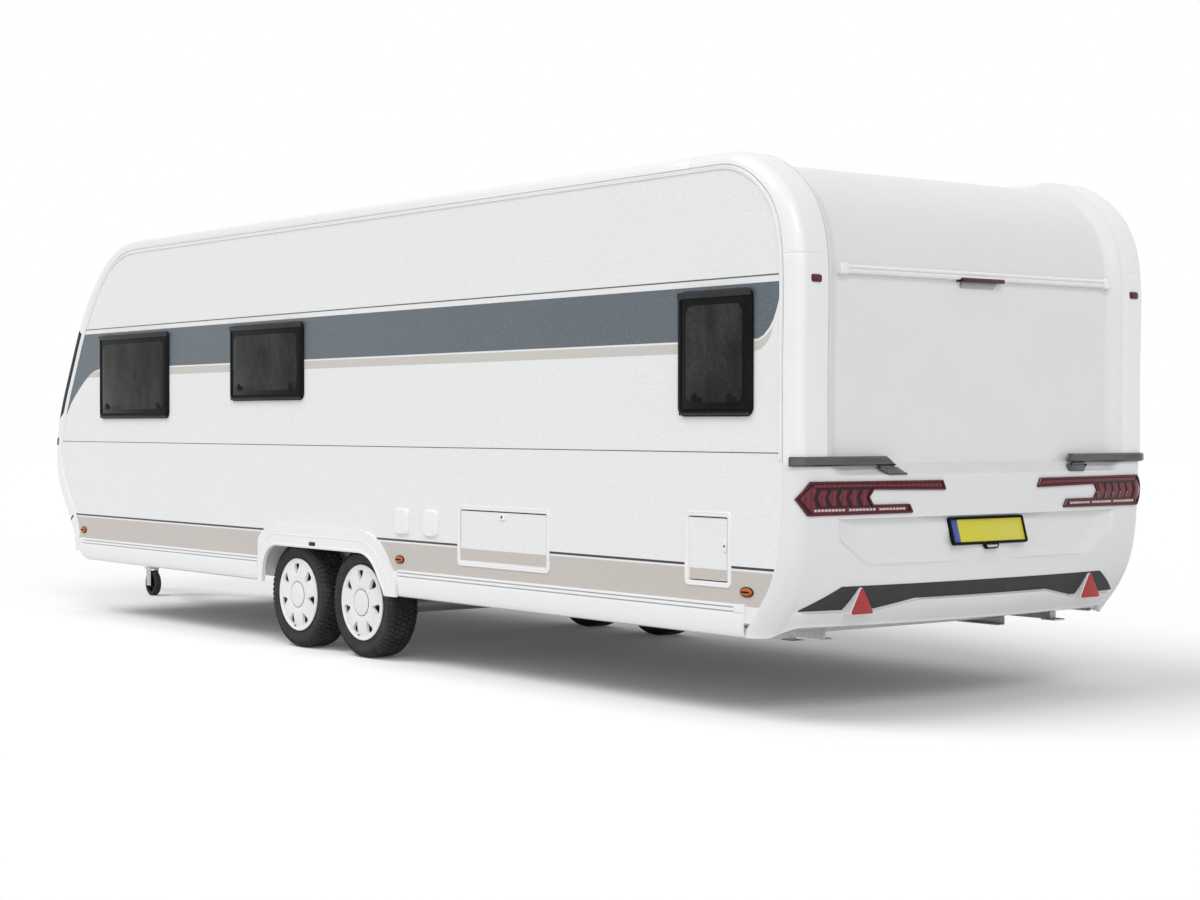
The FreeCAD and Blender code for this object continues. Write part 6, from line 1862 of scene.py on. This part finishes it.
@dataclass
class EntranceDoor:
    """What is fixed to the entrance door, and the seal round it."""

    hinge_heights: Triple = (0.78, 1.42, 2.06)
    hinge_x: float = 1.00735
    hinge_off: float = 0.008
    hinge_half: float = 0.045

    def build(self) -> None:
        """The leaf's edge trim, framed pane, handle and three hinges, and the seal on the wall."""
        lay = wall_lay(RIGHT)
        pane = Opening(0.4978, 1.3803, 0.8772, 1.9897, 0.06)
        trim = frame_ring(DOOR.outline(-0.0005), [(0.0, -0.003), (0.0, 0.0012), (0.002, 0.0028),
                                                  (0.016, 0.0028), (0.018, 0.0012), (0.018, -0.003)], lay)
        piece("door_trim", trim, GREY_TRIM, "white_panel", "door")
        frame_shape = frame_ring(pane.outline(0.016), [(0.0, -0.0005), (0.0, 0.004), (0.003, 0.0065),
                                                       (0.016, 0.0065), (0.02, 0.003), (0.02, -0.0005)], lay)
        piece("door_window_frame", frame_shape, BLACK_FRAME, "window_pane", "door")
        piece("door_pane", plate(pane.outline(-0.001), -0.024, 0.0045, 0.002, lay), WINDOW_GLASS,
              "window_pane", "door", replaces=["door_window"])
        plate_box = rounded_box(0.402, 1.15, 0.462, 1.29, 0.014)
        handle = plate(plate_box, -0.0005, 0.007, 0.002, lay)
        grip = softened([(0.412, 1.205, 0.008), (0.45, 1.205, 0.008), (0.45, 1.272, 0.01),
                         (0.412, 1.272, 0.01)])
        handle += plate(grip, 0.004, 0.016, 0.005, lay)
        handle += plate(circle(0.01, 24, (0.431, 1.172)), 0.004, 0.0105, 0.001, lay)
        piece("door_handle", handle, BLACK_FRAME, "white_panel", "door")
        knuckles, leaves = [], []
        for z in self.hinge_heights:
            low, high = z - self.hinge_half, z + self.hinge_half
            knuckles.append(plate(rounded_box(0.96, low, 1.0045, high, 0.004), -0.0005, 0.0075, 0.0015, lay))
            pin = np.array([(self.hinge_x, -HALF_WIDTH - self.hinge_off, z + end) for end in (-0.05, 0.05)])
            knuckles.append(swept(pin, circle(0.0045, 16), (0, 1, 0)))
            leaves.append(plate(rounded_box(1.0145, low, 1.052, high, 0.004), -0.0005, 0.006, 0.0015, lay))
        piece("door_hinges", joined(knuckles), WHITE_MOULDING, "white_panel", "door")
        piece("door_hinge_leaves", joined(leaves), WHITE_MOULDING, "white_panel")
        seal = frame_ring(DOOR.outline(0.02), [(0.0, -0.0005), (0.0, 0.0022), (0.002, 0.0034), (0.01, 0.0034),
                                               (0.012, 0.002), (0.012, -0.0005)], lay)
        piece("door_seal", carved(seal, prism(rounded_box(0.3, 0.5, 1.1, 0.5525, 0.001), -0.01, 0.01, lay)),
              BLACK_FRAME, "white_panel")


# The front, the roof and the running gear


class FrontForm:
    """The bowed front between the mouldings.

    Each point stands out from the rim by the mouldings' height and a bow, which falls with the
    square of the side position and grows down the first 0.9 m under the roof line.
    """

    bow: float = 0.11
    half: float = 1.146

    def __init__(self) -> None:
        """Tabulate the rim from the roof to the floor."""
        self.rim, self.out = rim_run(FRONT_RIM, 0.02, FRONT_RIM.crossing(FLOOR_BOTTOM), 320)
        self.edge = edge_height(self.rim)
        self.bulge = self.bow * step(0.0, 0.9, ROOF_LINE - self.rim[:, 1])

    def laid(self, outline: Array, height: float) -> Array:
        """Outline points (y, z) at a height off the front's surface."""
        y, z = outline[:, 0], outline[:, 1]
        bow = 1 - (y / self.half) ** 2
        out = self.edge[None] + self.bulge[None] * bow[:, None] + height
        return np.column_stack([at_height(self.rim, self.out, out, z, 0), y, z])


def dense(outline: Array, pitch: float) -> Array:
    """An outline with points added at even steps along its longer sides, so that it can bend."""
    ends = np.roll(outline, -1, axis=0)
    counts = np.maximum(np.ceil(np.linalg.norm(ends - outline, axis=1) / pitch).astype(int), 1)
    return np.vstack([a + (b - a) * (np.arange(n) / n)[:, None] for a, b, n in zip(outline, ends, counts)])


@dataclass
class FrontEnd:
    """The front's trim: window seal, dark wings over the mouldings, locker handles and small lamps."""

    window_half: float = 1.005
    sill: float = 1.365
    top: float = 2.035
    wing_low: float = 1.362
    wing_high: float = 2.018
    stations: int = 60
    latch_places: Triple = (-0.62, 0.0, 0.62)
    pull_y: float = 0.46
    lamp_y: float = 0.9

    def build(self) -> None:
        """Everything that is laid on the bowed front or on the mouldings beside it."""
        form = FrontForm()
        frame_line = dense(rounded_box(-self.window_half, self.sill, self.window_half, self.top, 0.09, 10),
                           0.06)
        seal = frame_ring(frame_line, [(-0.006, -0.001), (-0.006, 0.006), (-0.003, 0.0185), (0.004, 0.0195),
                                       (0.009, 0.0172), (0.009, 0.01), (0.002, -0.001)], form.laid)
        piece("front_window_seal", seal, BLACK_FRAME, "window_frame")
        inner = frame_ring(dense(rounded_box(-0.93, 1.44, 0.93, 1.965, 0.07, 10), 0.06),
                           [(0.0, 0.0105), (0.0, 0.0145), (0.002, 0.0155), (0.008, 0.0155), (0.01, 0.0145),
                            (0.01, 0.0105)], form.laid)
        piece("front_window_inner", inner, INNER_PANE, "window_pane")
        latches = []
        for y in self.latch_places:
            latches.append(plate(rounded_box(y - 0.036, 1.452, y + 0.036, 1.474, 0.009), 0.01, 0.0185, 0.003,
                                 form.laid))
            latches.append(plate(circle(0.015, 20, (y + 0.012, 1.466)), 0.01, 0.02, 0.003, form.laid))
        piece("front_window_latches", joined(latches), BLACK_FRAME, "window_frame")
        self._wings()
        self._locker(form)
        self._lamps(form)

    def _wings(self) -> None:
        """Dark skins that carry the window's black field over the mouldings' outer corners."""
        start, end = FRONT_RIM.crossing(self.wing_high), FRONT_RIM.crossing(self.wing_low)
        spot, out = rim_run(FRONT_RIM, start, end, self.stations)
        share_down = np.linspace(0, 1, self.stations)
        near = np.minimum(share_down, np.linspace(1, 0, self.stations))
        proud = 0.0032 * step(0.0, 0.03, near)
        moulding = CornerMouldings()
        power = moulding.power(spot)
        first = np.arcsin((0.35 + 0.6 * step(0.86, 1.0, share_down)) ** (power / 2))[:, None]
        angles = first + (math.radians(87) - first) * np.linspace(0, 1, 14) ** 2
        y, share = moulding.corner(angles, power)
        edge = edge_height(spot)[:, None]
        outer = lifted(spot, out, y + proud[:, None] * (1 - share), edge * share + proud[:, None] * share)
        inner = lifted(spot, out, y - 0.004 * (1 - share), edge * share - 0.004 * share)
        left = slab(outer, inner)
        piece("front_window_wings", left + left.mirrored(), WINDOW_GLASS, "window_pane")
        marks = []
        for low, high, reach in ((1.214, 1.262, (6, 70)), (0.716, 0.727, (0.5, 60))):
            spot, out = rim_run(FRONT_RIM, FRONT_RIM.crossing(high), FRONT_RIM.crossing(low), 5)
            y, share = moulding.corner(np.radians(np.linspace(*reach, 9)), moulding.power(spot))
            edge = edge_height(spot)[:, None]
            marks.append(slab(*(lifted(spot, out, y + lift * (1 - share), edge * share + lift * share)
                                for lift in (0.004, -0.006))))
        both = joined(marks)
        piece("front_moulding_marks", both + both.mirrored(), BLACK_FRAME, "white_moulding")

    def _locker(self, form: FrontForm) -> None:
        """Two pull handles at the lid's foot, each with a bright lock barrel."""
        handles, barrels = [], []
        for y in (-self.pull_y, self.pull_y):
            bowl = rounded_box(y - 0.085, 0.792, y + 0.085, 0.842, 0.016)
            handles.append(frame_ring(bowl, [(0.0, -0.001), (0.0, 0.006), (0.003, 0.009), (0.01, 0.009),
                                             (0.014, 0.004), (0.014, 0.0)], form.laid))
            handles.append(plate(inset(bowl, 0.012), -0.001, 0.0022, 0.001, form.laid))
            handles.append(plate(rounded_box(y - 0.06, 0.822, y + 0.06, 0.837, 0.006), -0.001, 0.0115, 0.003,
                                 form.laid))
            barrels.append(plate(circle(0.009, 20, (y + 0.058, 0.81)), 0.001, 0.007, 0.001, form.laid))
        piece("locker_pulls", joined(handles), BLACK_FRAME, "white_moulding", "locker_lid")
        piece("locker_barrels", joined(barrels), STEEL, "white_moulding", "locker_lid")

    def _lamps(self, form: FrontForm) -> None:
        """Clear position lamps low on the nose, on pale feet."""
        lenses, feet = [], []
        for y in (-self.lamp_y, self.lamp_y):
            box = rounded_box(y - 0.042, 0.64, y + 0.042, 0.682, 0.012)
            feet.append(plate(inset(box, -0.004), -0.002, 0.006, 0.002, form.laid))
            lenses.append(plate(box, 0.003, 0.017, 0.006, form.laid))
        piece("front_position_lamps", joined(lenses), CLEAR_LENS, "white_moulding")
        piece("front_lamp_feet", joined(feet), WHITE_MOULDING, "white_moulding")


@dataclass
class ArchLips:
    """A rolled lip round each wheel opening and the step line on the band above it."""

    outer_y: float = 1.274

    def build(self) -> None:
        """A bead along the opening's outline, and a low step 62 mm out from it."""
        beads = []
        for side in (LEFT, RIGHT):
            for grow, half, rise in ((0.008, 0.01, 0.0045), (0.07, 0.0045, 0.0022)):
                line = inset(ARCH_OPENING, -grow)
                line = line[line[:, 1] > 0.4]
                path = np.column_stack([line[:, 0], np.full(len(line), side * self.outer_y), line[:, 1]])
                section = np.array([(-half, -0.003), (-half, 0.0), (-half * 0.6, rise * 0.75), (0.0, rise),
                                    (half * 0.6, rise * 0.75), (half, 0.0), (half, -0.003)])
                beads.append(swept(path, section * np.array([1, side]), (0, side, 0)))
        piece("arch_beads", joined(beads), WHITE_MOULDING, "grey_moulding")


@dataclass
class JockeyWheel:
    """The jockey wheel: a black solid tyre on a rim with six spokes."""

    radius: float = 0.1
    half: float = 0.0245
    spokes: int = 6
    crank: Triple = (4.124, 0.13, 0.906)

    def build(self) -> None:
        """Tyre, rim ring, hub and spokes round the roller's axis; the crank's grip above."""
        centre = JOCKEY_AXLE
        r, h = self.radius, self.half
        tyre = np.array([(-h, 0.074), (-h, 0.088), (-h + 0.003, 0.096), (-h + 0.009, r), (h - 0.009, r),
                         (h - 0.003, 0.096), (h, 0.088), (h, 0.074), (h - 0.004, 0.07), (-h + 0.004, 0.07)])
        rim = np.array([(-h + 0.003, 0.0625), (-h + 0.003, 0.0735), (-h + 0.006, 0.075), (h - 0.006, 0.075),
                        (h - 0.003, 0.0735), (h - 0.003, 0.0625)])
        hub = np.array([(-h + 0.0005, 0.0066), (-h + 0.0005, 0.018), (-h + 0.003, 0.02), (h - 0.003, 0.02),
                        (h - 0.0005, 0.018), (h - 0.0005, 0.0066)])
        arms = []
        for k in range(self.spokes):
            a = 2 * math.pi * (k + 0.5) / self.spokes
            blade = np.array([(-0.0065, 0.017), (0.0065, 0.017), (0.0095, 0.0645), (-0.0095, 0.0645)])
            flat = spun(blade, -a)
            arms.append(tube(np.stack([about(inset(flat, depth), centre, y) for y, depth in (
                (-0.015, 0.001), (-0.013, 0.0), (0.013, 0.0), (0.015, 0.001))])))
        piece("jockey_tyre", turned_ring(tyre, centre, 64), JOCKEY_RUBBER, "jockey_rubber", "jockey_roller",
              replaces=["jockey_wheel"])
        piece("jockey_rim", joined([turned_ring(rim, centre, 64), turned_ring(hub, centre, 40)] + arms),
              BLACK_FRAME, "jockey_rubber", "jockey_roller", 30)
        ring = circle(1.0, 24)
        grip = np.array([(-0.006, 0.009), (0.0, 0.012), (0.03, 0.0125), (0.06, 0.0115), (0.066, 0.008)])
        x, y, z = self.crank
        rings = [np.column_stack([x + q * ring[:, 0], y + q * ring[:, 1], np.full(len(ring), z + up)]) for up,
                 q in grip]
        piece("jockey_crank_grip", tube(np.stack(rings)), BLACK_FRAME, "galvanised")


@dataclass
class Hitch:
    """What is fitted to the overrun tube and the coupling head: bellows, levers and their grips."""

    tube_z: float = 0.46
    tube_radius: float = 0.032

    def _along_x(self, profile: Array, y: float, z: float, count: int = 40) -> Shape:
        """A closed profile of (place, radius) turned round a lengthwise axis."""
        a = np.linspace(0, 2 * math.pi, count, endpoint=False)[:, None]
        points = np.stack([profile[None, :, 0] + 0 * a, y + profile[None, :, 1] * np.cos(a),
                           z + profile[None, :, 1] * np.sin(a)], axis=-1)
        return Shape(points, grid_faces(count, len(profile), True, True))

    def build(self) -> None:
        """Ribs of the bellows as a wave of radius along the tube; levers as swept bars."""
        x = np.linspace(4.06, 4.23, 60)
        wave = self.tube_radius + 0.0045 + 0.004 * np.cos((x - x[0]) * 2 * math.pi / 0.017)
        inside = np.column_stack([x[::-1][[0, -1]], np.full(2, self.tube_radius + 0.0004)])
        bellows = self._along_x(np.vstack([np.column_stack([x, wave]), inside]), 0.0, self.tube_z)
        piece("overrun_bellows", bellows, BLACK_FRAME, "cast_black")
        lever = np.array([(3.905, -0.074, 0.47), (3.925, -0.074, 0.55), (3.937, -0.074, 0.63),
                          (3.942, -0.074, 0.7)])
        bar = swept(lever, rounded_box(-0.005, -0.011, 0.005, 0.011, 0.003), (0, 1, 0))
        grip = swept(lever[-1] + np.array([(-0.002, 0, -0.04), (0.001, 0, 0.015), (0.002, 0, 0.07)]),
                     circle(0.0135, 20), (0, 1, 0))
        pivot = turned_ring(np.array([(-0.03, 0.0), (-0.03, 0.022), (0.016, 0.022), (0.016, 0.0)]),
                               (3.905, -0.076, 0.47), 28, closed=False)
        piece("handbrake_lever", bar + pivot, GALVANISED, "cast_black")
        piece("handbrake_grip", grip, BLACK_FRAME, "cast_black")
        handle = np.array([(4.47, 0, 0.498), (4.43, 0, 0.526), (4.36, 0, 0.545), (4.3, 0, 0.548)])
        piece("coupling_handle", swept(handle, rounded_box(-0.02, -0.008, 0.02, 0.008, 0.007), (0, 0, 1)),
              BLACK_FRAME, "cast_black")


@dataclass
class RoofGear:
    """The rooflight's domed lid and the awning rails."""

    x0: float = -1.5325
    x1: float = -0.7725
    half: float = 0.28

    def build(self) -> None:
        """The lid rises from its flange in a shallow dome; the rails follow."""
        levels = [(0.004, 2.6662), (0.0, 2.668), (0.0, 2.672), (0.003, 2.6745), (0.02, 2.6752),
                  (0.027, 2.679), (0.036, 2.6845), (0.055, 2.689), (0.085, 2.6918), (0.13, 2.6938),
                  (0.19, 2.695), (0.25, 2.6955)]
        rings = [rounded_box(self.x0 + d, d - self.half, self.x1 - d, self.half - d,
                             min(0.045, self.half - d - 0.002), 8) for d, _ in levels]
        dome = tube(np.stack([on_flat(ring, z) for ring, (_, z) in zip(rings, levels)]))
        piece("rooflight_dome", dome, SMOKED_LID, "grey_bar", "rooflight_lid", 30, ["rooflight_lid"])
        self._rails()

    def _rails(self) -> None:
        """An aluminium awning rail along each wall's upper edge: a small C that follows the rim."""
        rear = rim_run(REAR_RIM, REAR_RIM.crossing(1.22), REAR_RIM.knots[-1], 90)
        roof = (np.column_stack([np.linspace(ROOF_START + 0.01, ROOF_END - 0.01, 24),
                                 np.full(24, ROOF_LINE)]), np.tile([0.0, 1.0], (24, 1)))
        front = rim_run(FRONT_RIM, 0.0, FRONT_RIM.crossing(0.56), 130)
        spot, out = (np.vstack(pair) for pair in zip(rear, roof, front))
        section = np.array([(-0.019, -0.0004), (-0.019, 0.004), (-0.0178, 0.0056), (-0.0135, 0.006),
                            (-0.0118, 0.0054), (-0.011, 0.0042), (-0.0096, 0.0042), (-0.0086, 0.0056),
                            (-0.0056, 0.006), (-0.004, 0.0046), (-0.004, -0.0004)])
        left = tube(lifted(spot, out, HALF_WIDTH + section[:, 1], section[:, 0]))
        piece("awning_rails", left + left.mirrored(), WHITE_MOULDING, "white_moulding", angle=25)


@dataclass
class Underside:
    """Bolts along the chassis, by the steadies and on the drawbar."""

    bolt: float = 0.009
    rail_y: float = 0.65
    steady_y: float = 0.972

    def _bolt(self, spot: Sequence[float], upward: bool, way: int = 1) -> Shape:
        """A washer and a six-sided head on a surface that faces sideways or up."""
        def lay(outline: Array, height: float) -> Array:
            """Outline points round the bolt's place, at a height off its surface."""
            if upward:
                return on_flat(outline + np.array(spot[:2]), spot[2] + height)
            return about(outline, spot, way * height)

        washer = plate(circle(self.bolt * 1.45, 16), -0.0008, 0.0016, 0.0004, lay, 1)
        return washer + plate(circle(self.bolt, 6), 0.001, 0.0075, 0.001, lay, 1)

    def build(self) -> None:
        """Bolts on both sides of the rails and the steadies' brackets, and down into the drawbar."""
        spots = [(x, self.rail_y, 0.425) for x in (-0.57, -0.49, 0.16, 0.24, -1.3, 0.62)]
        spots += [(x, self.rail_y, 0.39) for x in (2.8, 2.74)]
        spots += [(x, self.steady_y, 0.43) for x in (-3.95, -3.9, 2.05, 2.1)]
        bolts = [self._bolt((x, side * y, z), False, side) for side in (LEFT, RIGHT) for x, y, z in spots]
        bolts += [self._bolt((x, y, 0.5), True) for x in (3.8, 3.95) for y in (-0.035, 0.035)]
        piece("chassis_bolts", joined(bolts), STEEL, "galvanised")


@dataclass(frozen=True)
class Look:
    """How some CAD nodes are dressed: their finish, their slot and the radius of their softened edges."""

    nodes: str
    finish: Finish
    slot: str
    edge: float = 0.0


NODE_LOOKS = [
    Look("side_wall_left side_wall_right", WHITE_SHEET, "white_panel"),
    Look("roof_panel", WHITE_MOULDING, "white_panel"),
    Look("front_panel", WHITE_MOULDING, "white_moulding"),
    Look("front_nose locker_lid", WHITE_MOULDING, "white_moulding", 0.004),
    Look("locker_bulkhead", WHITE_MOULDING, "white_panel"),
    Look("floor", FLOOR_PLY, "floor_board"),
    Look("wheel_arches", WHITE_MOULDING, "grey_moulding", 0.006),
    Look("entrance_door", WHITE_SHEET, "white_panel"),
    Look("front_window_frame", BLACK_FRAME, "window_frame", 0.002),
    Look("front_window_pane", WINDOW_GLASS, "window_pane", 0.002),
    Look("hatch_front hatch_rear", WHITE_SHEET, "white_panel"),
    Look("rooflight_frame", WHITE_MOULDING, "white_moulding", 0.004),
    Look("chassis_frame drawbar", GALVANISED, "galvanised", 0.0015),
    Look("coupling_head", CAST_BLACK, "cast_black", 0.002),
    Look("axles", GALVANISED, "galvanised", 0.0015),
    Look("jockey_tube jockey_fork steady_brackets steady_front_left steady_front_right steady_rear_left "
         "steady_rear_right", GALVANISED, "galvanised", 0.001),
]


def main() -> None:
    """Build the studio and every sub-assembly in order."""
    logging.basicConfig(level=logging.INFO, format="%(message)s")
    Studio().build()
    for part in (CornerMouldings(), RearPanel(), Bumper(), TailLamps(), GrabHandles(), RearFittings(),
                 WallFilms(), SideWindows(), Hatches(), ServiceFlaps(), Skirts(), ArchLips(), WheelSet(),
                 SideLamps(), EntranceDoor(), FrontEnd(), JockeyWheel(), Hitch(), RoofGear(), Underside()):
        LOG.info("building %s", type(part).__name__)
        part.build()
    body_of = {node: body for body, group in frame["record"]["behaviour"]["bodies"].items() for node in group}
    for look in NODE_LOOKS:
        for node in look.nodes.split():
            refined(node, look.finish, body_of[node], look.slot, look.edge)


if __name__ == "__main__":
    main()
